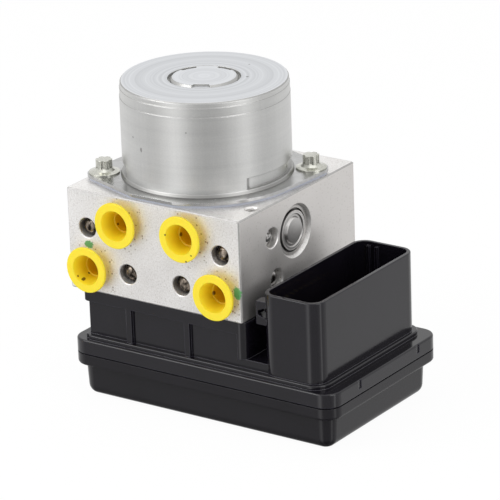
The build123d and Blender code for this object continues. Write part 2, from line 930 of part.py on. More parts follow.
export_step(valve_block.part, "parts/valve_block.step")

# Gasket and flange plate of the motor
with BuildPart() as motor_gasket:
    extrude(motor_outline(block_top_z, gasket_inset), amount=gasket_thickness)
    with BuildSketch(Plane.XY.offset(block_top_z)) as gasket_holes:
        Circle(chamber_radius)
        with Locations(*screw_places):
            Circle(screw_shank_radius + screw_clearance)
        with Locations(*terminal_places):
            Circle(terminal_radius + terminal_fit)
    extrude(amount=gasket_thickness, mode=Mode.SUBTRACT)
motor_gasket.part.label = "motor_gasket"
export_step(motor_gasket.part, "parts/motor_gasket.step")

hub_base_z = gasket_top_z - hub_depth
with BuildPart() as motor_flange:
    extrude(motor_outline(gasket_top_z), amount=plate_thickness)
    with BuildSketch(Plane.XY.offset(hub_base_z)) as hub:
        Circle(hub_radius)
    extrude(amount=hub_depth)
    with BuildSketch(Plane.XY.offset(hub_base_z + plate_thickness)) as bearing_seat:
        Circle(bearing_radius + bearing_fit)
    extrude(amount=hub_depth, mode=Mode.SUBTRACT)
    with BuildSketch(Plane.XY.offset(hub_base_z)) as hub_hole:
        Circle(bearing_radius - plate_thickness)
    extrude(amount=hub_depth, mode=Mode.SUBTRACT)
    with BuildSketch(Plane.XY.offset(gasket_top_z)) as flange_holes:
        with Locations(*screw_places):
            Circle(screw_shank_radius + screw_clearance)
        with Locations(*terminal_places):
            Circle(terminal_radius + terminal_fit)
    extrude(amount=plate_thickness, mode=Mode.SUBTRACT)
motor_flange.part.label = "motor_flange"
export_step(motor_flange.part, "parts/motor_flange.step")

# Motor can: a drawn pot with a bearing seat in its top and two pressed recesses near its foot
can_inner = can_radius - can_wall
can_ceiling_z = can_top_z - can_wall
well_z = can_top_z - cap_well_depth
upper_bearing_z = well_z - bearing_gap - bearing_width
upper_seat_radius = bearing_radius + bearing_fit
seat_wall_radius = bearing_radius + seat_wall
with BuildPart() as motor_can:
    plane = upright(0, 0, 0)
    revolve(
        section(
            plane,
            (can_inner, plate_top_z),
            (can_radius + can_lip, plate_top_z),
            (can_radius + can_lip, plate_top_z + can_lip_edge),
            (can_radius, plate_top_z + can_lip_height),
            (can_radius, can_top_z - can_step_places[0]),
            (can_radius - can_step_depth, can_top_z - can_step_places[0] + can_step_depth),
            (can_radius - can_step_depth, can_top_z - can_step_places[1]),
            (can_radius - 2 * can_step_depth, can_top_z - can_step_places[1] + can_step_depth),
            (can_top_radius, can_top_z - can_edge),
            (can_top_radius - can_edge, can_top_z),
            (cap_well_radius, can_top_z),
            (cap_well_radius, well_z),
            (upper_seat_radius, well_z),
            (upper_seat_radius, upper_bearing_z),
            (upper_seat_radius - seat_wall, upper_bearing_z),
            (upper_seat_radius - seat_wall, upper_bearing_z - seat_lip),
            (seat_wall_radius, upper_bearing_z - seat_lip),
            (seat_wall_radius, can_ceiling_z),
            (can_inner, can_ceiling_z),
        ),
        axis=Axis.Z,
    )
    with BuildSketch(Plane.XY.offset(plate_top_z + can_lip_height)) as recesses:
        for start in (can_recess_start, can_recess_start + 180):
            add(recess_outline(start, start + can_recess_end - can_recess_start))
    extrude(amount=can_recess_top - can_lip_height, mode=Mode.SUBTRACT)
motor_can.part.label = "motor_can"
export_step(motor_can.part, "parts/motor_can.step")

# Bearing cap, crimped into the top of the can at three notches
with BuildPart() as bearing_cap:
    revolve(
        section(
            plane,
            (0, well_z),
            (cap_radius, well_z),
            (cap_radius, well_z + cap_rim_height),
            (cap_top_radius, well_z + cap_height),
            (0, well_z + cap_height),
        ),
        axis=Axis.Z,
    )
    for angle in cap_notch_angles:
        extrude(
            section(
                Plane.XY.offset(well_z + cap_height).rotated((0, 0, angle)),
                (cap_top_radius - cap_notch_depth, -cap_notch_inner_width / 2),
                (cap_radius, -cap_notch_width / 2),
                (cap_radius + cut_margin, -cap_notch_width / 2),
                (cap_radius + cut_margin, cap_notch_width / 2),
                (cap_radius, cap_notch_width / 2),
                (cap_top_radius - cap_notch_depth, cap_notch_inner_width / 2),
            ),
            amount=-cap_notch_sink,
            mode=Mode.SUBTRACT,
        )
bearing_cap.part.label = "bearing_cap"
export_step(bearing_cap.part, "parts/bearing_cap.step")

# Two motor screws with a washer flange and an external six-lobe head
with BuildPart() as motor_screws:
    for x, y in screw_places:
        plane = upright(x, y, plate_top_z)
        revolve(
            section(
                plane,
                (0, -screw_length),
                (screw_shank_radius, -screw_length),
                (screw_shank_radius, 0),
                (screw_washer_radius, 0),
                (screw_washer_radius, screw_washer_height / 2),
                (screw_flare_radius, screw_washer_height),
                (screw_head_radius - screw_flute_depth, screw_washer_height + screw_flare_height),
                (0, screw_washer_height + screw_flare_height),
            ),
            axis=turning_axis(plane),
        )
        with BuildSketch(Plane.XY.offset(plate_top_z + screw_washer_height / 2)) as head:
            with Locations((x, y)):
                Circle(screw_head_radius)
                with PolarLocations(screw_head_radius + screw_flute_radius - screw_flute_depth, 6):
                    Circle(screw_flute_radius, mode=Mode.SUBTRACT)
        extrude(amount=screw_head_height + screw_washer_height / 2)
motor_screws.part.label = "motor_screws"
export_step(motor_screws.part, "parts/motor_screws.step")

# Magnets glued inside the can
magnet_outer = can_inner - magnet_gap
magnet_inner = magnet_outer - magnet_thickness
magnet_base_z = core_base_z - (magnet_height - core_height) / 2
with BuildPart() as magnets:
    with BuildSketch(Plane.XY.offset(magnet_base_z)) as arcs:
        Circle(magnet_outer)
        Circle(magnet_inner, mode=Mode.SUBTRACT)
        with PolarLocations(magnet_outer, 4, start_angle=45):
            Rectangle(4 * magnet_thickness, magnet_spacing, mode=Mode.SUBTRACT)
    extrude(amount=magnet_height)
magnets.part.label = "magnets"
export_step(magnets.part, "parts/magnets.step")

# Ball bearings at both ends of the armature
bearing_bore = shaft_radius + bearing_fit
ring_middle = (bearing_bore + bearing_radius) / 2
for bearing_name, base_z in (
    ("lower_bearing", hub_base_z + plate_thickness),
    ("upper_bearing", upper_bearing_z),
):
    with BuildPart() as bearing:
        revolve(
            section(
                upright(0, 0, base_z),
                (bearing_bore, 0),
                (ring_middle - bearing_ball_radius, 0),
                (ring_middle - bearing_ball_radius, shield_depth),
                (ring_middle + bearing_ball_radius, shield_depth),
                (ring_middle + bearing_ball_radius, 0),
                (bearing_radius, 0),
                (bearing_radius, bearing_width),
                (ring_middle + bearing_ball_radius, bearing_width),
                (ring_middle + bearing_ball_radius, bearing_width - shield_depth),
                (ring_middle - bearing_ball_radius, bearing_width - shield_depth),
                (ring_middle - bearing_ball_radius, bearing_width),
                (bearing_bore, bearing_width),
            ),
            axis=Axis.Z,
        )
    bearing.part.label = bearing_name
    export_step(bearing.part, f"parts/{bearing_name}.step")

# Shaft with its eccentric, turned from one bar
eccentric_base_z = pump_z - eccentric_width / 2
with BuildPart() as motor_shaft:
    with BuildSketch(Plane.XY.offset(eccentric_base_z - shaft_stub)) as shaft_section:
        Circle(shaft_radius)
    extrude(amount=upper_bearing_z + bearing_width - eccentric_base_z + shaft_stub)
    with BuildSketch(Plane.XY.offset(eccentric_base_z)) as eccentric:
        with Locations((0, eccentricity)):
            Circle(eccentric_radius)
    extrude(amount=eccentric_width)
motor_shaft.part.label = "motor_shaft"
export_step(motor_shaft.part, "parts/motor_shaft.step")

# Needle bearing on the eccentric, which drives the pump pistons
with BuildPart() as eccentric_bearing:
    with BuildSketch(Plane.XY.offset(eccentric_base_z + eccentric_side)) as ring_section:
        with Locations((0, eccentricity)):
            Circle(eccentric_bearing_radius)
            Circle(eccentric_radius + bearing_fit, mode=Mode.SUBTRACT)
    extrude(amount=eccentric_width - 2 * eccentric_side)
eccentric_bearing.part.label = "eccentric_bearing"
export_step(eccentric_bearing.part, "parts/eccentric_bearing.step")

# Armature core: slotted laminations pressed on the shaft
core_radius = magnet_inner - air_gap
slot_top_radius = core_radius - tooth_tip
slot_middle = (slot_foot_radius + slot_top_radius) / 2
with BuildPart() as armature_core:
    with BuildSketch(Plane.XY.offset(core_base_z)) as lamination:
        Circle(core_radius)
        Circle(shaft_radius + bearing_fit, mode=Mode.SUBTRACT)
        with PolarLocations(slot_middle, core_slots):
            Rectangle(slot_top_radius - slot_foot_radius, core_slot_width, mode=Mode.SUBTRACT)
        with PolarLocations(core_radius, core_slots):
            Rectangle(2 * (core_radius - slot_middle), core_slot_mouth, mode=Mode.SUBTRACT)
    extrude(amount=core_height)
armature_core.part.label = "armature_core"
export_step(armature_core.part, "parts/armature_core.step")

# Windings: heads above and below the core, joined through its slots
with BuildPart() as armature_windings:
    with BuildSketch(Plane.XY.offset(core_base_z - winding_head)) as heads:
        Circle(slot_top_radius - winding_gap)
        Circle(slot_foot_radius, mode=Mode.SUBTRACT)
    extrude(amount=winding_head)
    with BuildSketch(Plane.XY.offset(core_base_z + core_height)) as upper_head:
        Circle(slot_top_radius - winding_gap)
        Circle(slot_foot_radius, mode=Mode.SUBTRACT)
    extrude(amount=winding_head)
    with BuildSketch(Plane.XY.offset(core_base_z)) as bars:
        with PolarLocations(slot_middle, core_slots):
            Rectangle(
                slot_top_radius - slot_foot_radius - 2 * winding_gap,
                core_slot_width - 2 * winding_gap,
            )
    extrude(amount=core_height)
armature_windings.part.label = "armature_windings"
export_step(armature_windings.part, "parts/armature_windings.step")

# Commutator
with BuildPart() as commutator:
    with BuildSketch(Plane.XY.offset(commutator_base_z)) as bars_section:
        Circle(commutator_radius)
        Circle(shaft_radius + bearing_fit, mode=Mode.SUBTRACT)
        with PolarLocations(commutator_radius, commutator_bars):
            Rectangle(2 * commutator_slot, commutator_slot, mode=Mode.SUBTRACT)
    extrude(amount=commutator_height)
commutator.part.label = "commutator"
export_step(commutator.part, "parts/commutator.step")

# Brush holder on the flange plate, with a guide on each side of each brush
holder_top_z = plate_top_z + holder_thickness
brush_middle = commutator_radius + brush_gap + brush_length / 2
guide_offset = brush_width / 2 + brush_gap + guide_wall / 2
with BuildPart() as brush_holder:
    with BuildSketch(Plane.XY.offset(plate_top_z)) as holder_section:
        Circle(can_inner - holder_gap)
        Circle(commutator_radius + holder_bore_gap, mode=Mode.SUBTRACT)
        with Locations(*terminal_places):
            Circle(terminal_pin_radius + pin_fit, mode=Mode.SUBTRACT)
    extrude(amount=holder_thickness)
    with BuildSketch(Plane.XY.offset(holder_top_z)) as guides:
        for side in (-1, 1):
            with Locations((side * (brush_middle + holder_bore_gap), guide_offset),
                           (side * (brush_middle + holder_bore_gap), -guide_offset)):
                Rectangle(brush_length, guide_wall)
    extrude(amount=brush_height)
brush_holder.part.label = "brush_holder"
export_step(brush_holder.part, "parts/brush_holder.step")

with BuildPart() as brushes:
    with BuildSketch(Plane.XY.offset(holder_top_z)) as brush_section:
        with Locations((-brush_middle, 0), (brush_middle, 0)):
            Rectangle(brush_length, brush_width)
    extrude(amount=brush_height)
brushes.part.label = "brushes"
export_step(brushes.part, "parts/brushes.step")

# Terminals that bring the current from the board up through the block to the brush holder
with BuildPart() as motor_terminals:
    with BuildSketch(Plane.XY.offset(board_under_z - pin_stub)) as terminal_pins:
        with Locations(*terminal_places):
            Circle(terminal_pin_radius)
    extrude(amount=holder_top_z - board_under_z + pin_stub)
    with BuildSketch(Plane.XY.offset(block_base_z)) as sleeves:
        with Locations(*terminal_places):
            Circle(terminal_radius)
    extrude(amount=plate_top_z - block_base_z)
motor_terminals.part.label = "motor_terminals"
export_step(motor_terminals.part, "parts/motor_terminals.step")

# Pump: a piston, its return spring and the staked plug on each side of the eccentric
piston_start = eccentric_bearing_radius + eccentricity + eccentric_clearance
piston_end = piston_start + piston_length
plug_face = half_block - plug_sink
plug_inner_end = plug_face - plug_length
for side_name, side in (("left", -1), ("right", 1)):
    plane = sideways(0, 0, pump_z, side)
    with BuildPart() as pump_piston:
        revolve(
            section(
                plane,
                (0, piston_start),
                (piston_radius - piston_edge, piston_start),
                (piston_radius, piston_start + piston_edge),
                (piston_radius, piston_end - piston_nose),
                (piston_nose_radius, piston_end - piston_nose),
                (piston_nose_radius, piston_end),
                (0, piston_end),
            ),
            axis=turning_axis(plane),
        )
    pump_piston.part.label = f"pump_piston_{side_name}"
    export_step(pump_piston.part, f"parts/pump_piston_{side_name}.step")

    spring_start = piston_end - piston_nose
    spring_end = plug_inner_end + plug_cavity_depth
    pump_spring = helix_spring(
        (side * spring_start, 0, pump_z),
        (side, 0, 0),
        pump_spring_radius,
        spring_end - spring_start,
    )
    pump_spring.label = f"pump_spring_{side_name}"
    export_step(pump_spring, f"parts/pump_spring_{side_name}.step")

    with BuildPart() as pump_plug:
        revolve(
            section(
                plane,
                (0, spring_end),
                (plug_cavity_radius, spring_end),
                (plug_cavity_radius, plug_inner_end),
                (plug_bore_radius - plug_fit, plug_inner_end),
                (plug_bore_radius - plug_fit, plug_face - plug_rim_drop),
                (plug_rim_radius, plug_face - plug_rim_drop),
                (plug_dish_outer, plug_face - plug_dish),
                (plug_dish_inner, plug_face - plug_dish),
                (plug_centre_radius, plug_face),
                (0, plug_face),
            ),
            axis=turning_axis(plane),
        )
    pump_plug.part.label = f"pump_plug_{side_name}"
    export_step(pump_plug.part, f"parts/pump_plug_{side_name}.step")

# Low-pressure accumulators: piston, spring and cap in a bore of the block's underside
accumulator_piston_base = accumulator_depth - accumulator_top_gap - accumulator_piston_height
for side_name, x in accumulator_places:
    plane = upright(x, accumulator_y, block_base_z)
    with BuildPart() as accumulator_piston:
        revolve(
            section(
                plane,
                (0, accumulator_piston_base + accumulator_cup),
                (accumulator_cup_radius, accumulator_piston_base + accumulator_cup),
                (accumulator_cup_radius, accumulator_piston_base),
                (accumulator_radius - accumulator_fit, accumulator_piston_base),
                (accumulator_radius - accumulator_fit,
                 accumulator_piston_base + accumulator_piston_height),
                (0, accumulator_piston_base + accumulator_piston_height),
            ),
            axis=turning_axis(plane),
        )
    accumulator_piston.part.label = f"accumulator_piston_{side_name}"
    export_step(accumulator_piston.part, f"parts/accumulator_piston_{side_name}.step")

    accumulator_spring = helix_spring(
        (x, accumulator_y, block_base_z + accumulator_cap_height),
        (0, 0, 1),
        accumulator_spring_radius,
        accumulator_piston_base + accumulator_cup - accumulator_cap_height,
    )
    accumulator_spring.label = f"accumulator_spring_{side_name}"
    export_step(accumulator_spring, f"parts/accumulator_spring_{side_name}.step")

    with BuildPart() as accumulator_cap:
        revolve(
            section(
                plane,
                (0, accumulator_dish),
                (accumulator_cup_radius - accumulator_dish, accumulator_dish),
                (accumulator_cup_radius, 0),
                (accumulator_radius - accumulator_fit, 0),
                (accumulator_radius - accumulator_fit, accumulator_cap_height),
                (0, accumulator_cap_height),
            ),
            axis=turning_axis(plane),
        )
    accumulator_cap.part.label = f"accumulator_cap_{side_name}"
    export_step(accumulator_cap.part, f"parts/accumulator_cap_{side_name}.step")

# Solenoid valves: body with its dome, moving armature with its pin, and the coil round the dome
dome_floor = dome_wall - valve_dome_length
seat_face = valve_collar_height + valve_seat_rise
for valve_name, x, y in valve_places:
    plane = upright(x, y, block_base_z)
    with BuildPart() as valve_body:
        revolve(
            section(
                plane,
                (0, -valve_dome_length),
                (valve_dome_radius - dome_wall / 2, -valve_dome_length),
                (valve_dome_radius, -valve_dome_length + dome_wall / 2),
                (valve_dome_radius, 0),
                (valve_collar_radius - valve_press, 0),
                (valve_collar_radius - valve_press, valve_collar_height),
                (valve_seat_radius - valve_press, valve_collar_height),
                (valve_seat_radius - valve_press, valve_seat_height),
                (valve_hole_radius, valve_seat_height),
                (valve_hole_radius, seat_face),
                (valve_bore_radius, seat_face),
                (valve_bore_radius, dome_floor),
                (0, dome_floor),
            ),
            axis=turning_axis(plane),
        )
    valve_body.part.label = valve_name
    export_step(valve_body.part, f"parts/{valve_name}.step")

    # An inlet valve rests open and closes upwards, an outlet valve rests closed and opens downwards
    pin_gap = inlet_pin_gap if y < 0 else outlet_pin_gap
    armature_base = dome_floor + armature_gap
    with BuildPart() as valve_armature:
        revolve(
            section(
                plane,
                (0, armature_base),
                (valve_bore_radius - valve_armature_fit, armature_base),
                (valve_bore_radius - valve_armature_fit, armature_base + valve_armature_length),
                (valve_pin_radius, armature_base + valve_armature_length),
                (valve_pin_radius, seat_face - pin_gap),
                (0, seat_face - pin_gap),
            ),
            axis=turning_axis(plane),
        )
    armature_name = valve_name.replace("valve", "armature")
    valve_armature.part.label = armature_name
    export_step(valve_armature.part, f"parts/{armature_name}.step")

    plane = upright(x, y, floor_z)
    coil_height = seat_height - coil_top_gap
    with BuildPart() as valve_coil:
        revolve(
            section(
                plane,
                (valve_dome_radius + coil_gap, 0),
                (coil_radius, 0),
                (coil_radius, coil_flange),
                (coil_radius - coil_window, coil_flange),
                (coil_radius - coil_window, coil_height - coil_flange),
                (coil_radius, coil_height - coil_flange),
                (coil_radius, coil_height),
                (valve_dome_radius + coil_gap, coil_height),
            ),
            axis=turning_axis(plane),
        )
        with BuildSketch(Plane.XY.offset(floor_z)) as coil_pins:
            with Locations((x - coil_pin_spread, y), (x + coil_pin_spread, y)):
                Circle(coil_pin_radius)
        extrude(amount=board_under_z - pin_stub - floor_z)
    coil_name = valve_name.replace("valve", "coil")
    valve_coil.part.label = coil_name
    export_step(valve_coil.part, f"parts/{coil_name}.step")

# Plugs that close the ports until the brake lines are fitted: thin flanged cups
plug_tip = port_radius - port_plug_fit
for plug_name, x, z in port_places:
    plane = forwards(x, -block_front, z)
    with BuildPart() as port_plug:
        revolve(
            section(
                plane,
                (0, -port_plug_length),
                (plug_tip - port_plug_taper, -port_plug_length),
                (plug_tip, -port_chamfer),
                (port_plug_neck, port_flange_stand - port_flange_thickness),
                (port_flange_radius, port_flange_stand - port_flange_thickness),
                (port_flange_radius, port_flange_stand - port_flange_edge),
                (port_flange_radius - port_flange_edge, port_flange_stand),
                (port_plug_mouth, port_flange_stand),
                (plug_tip - port_plug_wall, -port_plug_step),
                (plug_tip - port_plug_wall - port_plug_ledge, -port_plug_step),
                (plug_tip - port_plug_wall - 2 * port_plug_ledge, port_plug_wall - port_plug_length),
                (0, port_plug_wall - port_plug_length),
            ),
            axis=turning_axis(plane),
        )
    port_plug.part.label = plug_name
    export_step(port_plug.part, f"parts/{plug_name}.step")

# Balls pressed into the drilled passages to close them
with BuildPart() as ball_plugs:
    for plane, _ in ball_places:
        with Locations(plane.from_local_coords(Vector(0, -ball_depth, 0))):
            Sphere(ball_radius)
ball_plugs.part.label = "ball_plugs"
export_step(ball_plugs.part, "parts/ball_plugs.step")
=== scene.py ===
import json
import math

import bmesh
import bpy
from mathutils import Matrix, Vector


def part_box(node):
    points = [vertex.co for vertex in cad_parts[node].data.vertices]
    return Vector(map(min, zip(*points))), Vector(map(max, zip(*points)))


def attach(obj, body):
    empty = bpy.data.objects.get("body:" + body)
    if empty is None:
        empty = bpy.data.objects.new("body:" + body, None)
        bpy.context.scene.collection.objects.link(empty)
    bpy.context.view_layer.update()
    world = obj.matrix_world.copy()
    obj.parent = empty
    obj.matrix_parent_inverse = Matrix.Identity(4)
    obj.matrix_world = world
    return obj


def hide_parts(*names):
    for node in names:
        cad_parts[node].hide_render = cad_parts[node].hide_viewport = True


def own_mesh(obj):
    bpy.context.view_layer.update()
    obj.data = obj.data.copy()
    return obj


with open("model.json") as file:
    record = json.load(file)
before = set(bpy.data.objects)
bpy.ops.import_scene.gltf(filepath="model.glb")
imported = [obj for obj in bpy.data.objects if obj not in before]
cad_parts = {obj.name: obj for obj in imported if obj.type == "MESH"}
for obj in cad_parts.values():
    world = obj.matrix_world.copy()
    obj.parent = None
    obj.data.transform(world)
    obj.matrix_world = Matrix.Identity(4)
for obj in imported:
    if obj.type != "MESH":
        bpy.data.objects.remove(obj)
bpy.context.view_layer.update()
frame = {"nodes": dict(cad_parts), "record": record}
parts = frame["nodes"]
record = frame["record"]
slotOf = {entry["node"]: entry["material_slot"] for entry in record["subparts"]}
print("frame loaded:", len(parts), "nodes")


# Small tools

def tint(code):  # a web colour as a linear colour
    channels = [int(code[i:i + 2], 16) / 255 for i in (0, 2, 4)]
    linear = [c / 12.92 if c <= 0.04045 else ((c + 0.055) / 1.055) ** 2.4 for c in channels]
    return (*linear, 1.0)


def fill(tree, node, values):  # links or sets each named input
    for key, value in values.items():
        if isinstance(value, bpy.types.NodeSocket):
            tree.links.new(value, node.inputs[key])
        else:
            node.inputs[key].default_value = value


def addNode(tree, kind, inputs=None, **settings):
    made = tree.nodes.new("ShaderNode" + kind)
    for key, value in settings.items():
        setattr(made, key, value)
    fill(tree, made, inputs or {})
    return made


def useGroup(tree, group, **inputs):
    made = addNode(tree, "Group", node_tree=group)
    fill(tree, made, inputs)
    return made.outputs


def connect(tree, socket, target):
    tree.links.new(socket, target)


def calc(tree, operation, first, second=0.0, third=0.0):
    return addNode(tree, "Math", {0: first, 1: second, 2: third}, operation=operation).outputs[0]


def times(tree, first, second):
    return calc(tree, "MULTIPLY", first, second)


def weigh(tree, *pairs):  # each value times its weight, added up
    total = 0.0
    for value, weight in pairs:
        total = calc(tree, "MULTIPLY_ADD", value, weight, total)
    return total


def largest(tree, first, *others):
    for value in others:
        first = calc(tree, "MAXIMUM", first, value)
    return first


def vectorCalc(tree, operation, first, second=(0.0, 0.0, 0.0)):
    made = addNode(tree, "VectorMath", {0: first, 1: second}, operation=operation)
    single = operation in ("DOT_PRODUCT", "LENGTH")
    return made.outputs["Value" if single else "Vector"]


def spread(tree, value, low, high, newLow=0.0, newHigh=1.0):
    made = addNode(
        tree, "MapRange",
        {"Value": value, "From Min": low, "From Max": high, "To Min": newLow, "To Max": newHigh},
    )
    return made.outputs["Result"]


def blendColour(tree, factor, first, second):
    return addNode(tree, "Mix", {0: factor, 6: first, 7: second}, data_type="RGBA").outputs[2]


def coverWith(tree, under, mask, strength, colour):
    return blendColour(tree, times(tree, mask, strength), under, colour)


def noise(tree, spot, scale, detail):
    return addNode(tree, "TexNoise", {"Vector": spot, "Scale": scale, "Detail": detail}).outputs


def place(tree):  # position on the piece in metres, in the row frame
    return addNode(tree, "TexCoord").outputs["Object"]


def along(tree, axis):  # that position's X, Y or Z
    return addNode(tree, "SeparateXYZ", {"Vector": place(tree)}).outputs[axis]


def newGroup(name, inputs, outputs):
    group = bpy.data.node_groups.new(name, "ShaderNodeTree")
    for label, (kind, value) in inputs.items():
        socket = group.interface.new_socket(label, in_out="INPUT", socket_type="NodeSocket" + kind)
        socket.default_value = value
    for label, kind in outputs.items():
        group.interface.new_socket(label, in_out="OUTPUT", socket_type="NodeSocket" + kind)
    return group, group.nodes.new("NodeGroupInput").outputs, group.nodes.new("NodeGroupOutput").inputs


def newMaterial(name, metallic=0.0, **sockets):
    material = bpy.data.materials.new(name)
    material.use_nodes = True
    shader = material.node_tree.nodes["Principled BSDF"]
    shader.inputs["Metallic"].default_value = metallic
    for key, value in sockets.items():
        shader.inputs[key.replace("_", " ")].default_value = value
    return material, material.node_tree, shader.inputs


def dress(tree, shader, colour, roughness, normal):
    connect(tree, colour, shader["Base Color"])
    connect(tree, roughness, shader["Roughness"])
    connect(tree, normal, shader["Normal"])


# Shared effects

def makeEdgeGroup():  # rounds every sharp edge a little and marks where it does
    group, given, result = newGroup(
        "softEdges",
        {"Radius": ("Float", 0.0003)},
        {"Normal": "Vector", "Edge": "Float"},
    )
    rounded = addNode(group, "Bevel", {"Radius": given["Radius"]}, samples=6).outputs["Normal"]
    flat = addNode(group, "NewGeometry").outputs["True Normal"]
    lean = calc(group, "SUBTRACT", 1.0, vectorCalc(group, "DOT_PRODUCT", rounded, flat))
    connect(group, rounded, result["Normal"])
    connect(group, spread(group, lean, 0.0, 0.12), result["Edge"])
    return group


def makeGrainGroup():  # fine even grain of blasted metal or moulded plastic
    group, given, result = newGroup(
        "fineGrain",
        {"Size": ("Float", 0.0004), "Stretch": ("Vector", (1.0, 1.0, 1.0))},
        {"Grain": "Float", "Cloud": "Float"},
    )
    spot = vectorCalc(group, "MULTIPLY", place(group), given["Stretch"])
    scale = calc(group, "DIVIDE", 1.0, given["Size"])
    fine = addNode(group, "TexNoise", {"Vector": spot, "Scale": scale, "Detail": 3.0, "Roughness": 0.6})
    broad = noise(group, spot, times(group, scale, 0.03), 2.0)
    connect(group, fine.outputs["Fac"], result["Grain"])
    connect(group, broad["Fac"], result["Cloud"])
    return group


def makeRingGroup():  # turning marks round an axis
    group, given, result = newGroup(
        "turningMarks",
        {
            "Centre": ("Vector", (0.0, 0.0, 0.0)),
            "Across": ("Vector", (1.0, 1.0, 0.0)),
            "Pitch": ("Float", 0.0005),
        },
        {"Ring": "Float", "Band": "Float"},
    )
    fromCentre = vectorCalc(group, "SUBTRACT", place(group), given["Centre"])
    fromAxis = vectorCalc(group, "MULTIPLY", fromCentre, given["Across"])
    turns = calc(group, "DIVIDE", vectorCalc(group, "LENGTH", fromAxis), given["Pitch"])
    fine = addNode(group, "TexNoise", {"W": turns, "Scale": 1.0, "Detail": 2.0}, noise_dimensions="1D")
    wide = times(group, turns, 0.16)
    broad = addNode(group, "TexNoise", {"W": wide, "Scale": 1.0, "Detail": 1.0}, noise_dimensions="1D")
    connect(group, fine.outputs["Fac"], result["Ring"])
    connect(group, broad.outputs["Fac"], result["Band"])
    return group


def makeSpeckGroup():  # scattered small dark marks
    group, given, result = newGroup(
        "specks",
        {"Spacing": ("Float", 0.004), "Size": ("Float", 0.0002), "Share": ("Float", 0.3)},
        {"Mask": "Float"},
    )
    scale = calc(group, "DIVIDE", 1.0, given["Spacing"])
    wobble = noise(group, place(group), 2400.0, 2.0)["Color"]
    spot = vectorCalc(group, "ADD", place(group), vectorCalc(group, "MULTIPLY", wobble, (0.0002,) * 3))
    cells = addNode(group, "TexVoronoi", {"Vector": spot, "Scale": scale}).outputs
    tone = addNode(group, "SeparateColor", {"Color": cells["Color"]}).outputs
    reach = times(group, times(group, given["Size"], scale), tone["Green"])
    inside = calc(group, "LESS_THAN", cells["Distance"], reach)
    chosen = calc(group, "LESS_THAN", tone["Red"], given["Share"])
    connect(group, times(group, inside, chosen), result["Mask"])
    return group


def makeHollowGroup():  # marks corners, grooves and holes with painted shade, darker where they are more closed in
    group, given, result = newGroup("paintedHollowShade", {"Reach": ("Float", 0.001)}, {"Mask": "Float"})
    nearby = addNode(group, "AmbientOcclusion", {"Distance": given["Reach"]}, samples=8, only_local=True)
    connect(group, spread(group, nearby.outputs["AO"], 0.45, 0.95, 1.0, 0.0), result["Mask"])
    return group


def makeSpotGroup():  # one ragged spot at a given place
    group, given, result = newGroup(
        "raggedSpot",
        {"Centre": ("Vector", (0.0, 0.0, 0.0)), "Size": ("Vector", (0.001, 0.001, 0.001))},
        {"Mask": "Float"},
    )
    width = addNode(group, "SeparateXYZ", {"Vector": given["Size"]}).outputs["X"]
    wobble = noise(group, place(group), calc(group, "DIVIDE", 1.8, width), 2.0)["Color"]
    shift = vectorCalc(group, "MULTIPLY", vectorCalc(group, "SUBTRACT", wobble, (0.5,) * 3), given["Size"])
    away = vectorCalc(group, "SUBTRACT", vectorCalc(group, "ADD", place(group), shift), given["Centre"])
    reach = vectorCalc(group, "LENGTH", vectorCalc(group, "DIVIDE", away, given["Size"]))
    connect(group, spread(group, reach, 0.85, 1.05, 1.0, 0.0), result["Mask"])
    return group


softEdges = makeEdgeGroup()
fineGrain = makeGrainGroup()
turningMarks = makeRingGroup()
specks = makeSpeckGroup()
paintedHollowShade = makeHollowGroup()
raggedSpot = makeSpotGroup()
print("shared effects made")


def bumpOn(tree, height, normal, strength, distance):
    made = addNode(
        tree, "Bump",
        {"Height": height, "Normal": normal, "Strength": strength, "Distance": distance},
    )
    return made.outputs["Normal"]


def cloudy(tree, grains, low, high):  # a value that drifts slowly over the surface
    return spread(tree, grains["Cloud"], 0.3, 0.7, low, high)


# painted shade in corners, grooves and holes, at the given strength
def cornerShade(tree, reach, strength):
    return times(tree, useGroup(tree, paintedHollowShade, Reach=reach)["Mask"], strength)


def spotsOn(tree, spots):  # several ragged spots in one mask
    masks = [useGroup(tree, raggedSpot, Centre=centre, Size=size)["Mask"] for centre, size in spots]
    return largest(tree, *masks)


def facing(tree, direction, start=0.80, full=0.97):  # 1 where the surface faces that way
    normal = addNode(tree, "NewGeometry").outputs["True Normal"]
    return spread(tree, vectorCalc(tree, "DOT_PRODUCT", normal, direction), start, full)


# Motor can and its cap: drawn steel with turned tops

canLook = {
    "wall": tint("dededc"),
    "wallDark": tint("c5c5c4"),
    # colour of the painted shade on the lip, the lower ledges and the corners
    "shade": tint("6a6966"),
    "top": tint("e2e4e7"),
    "topDark": tint("cbcdd0"),
    "speck": tint("4a4844"),
    "roughness": (0.37, 0.45),
    "edge": 0.0004,
    "upright": {"Size": 0.0012, "Stretch": (1.0, 1.0, 0.03)},
    "level": {"Size": 0.0022, "Stretch": (0.03, 0.03, 1.0)},
    "drawn": {"Size": 0.0005},
    "bands": (70.0, 70.0, 2.0),  # broad upright bands, per metre
    "turnPitch": 0.0011,
    "dust": {"Spacing": 0.013, "Size": 0.0009, "Share": 0.35},
    "lipLevel": 0.0846,  # below this the lip runs out over the flange plate, and gets painted shade there
    "lipFade": 0.0006,
    "topFrom": 0.1180,
    "marks": (  # dents and dirt that stand out on the wall and the top: place and size
        ((-0.0117, -0.0287, 0.1022), (0.0004, 0.0004, 0.0004)),
        ((-0.0073, -0.0301, 0.0985), (0.0005, 0.0005, 0.0009)),
        ((0.0118, -0.0287, 0.1076), (0.0003, 0.0003, 0.0003)),
        ((0.0060, 0.0200, 0.1186), (0.0004, 0.0004, 0.0004)),
    ),
}


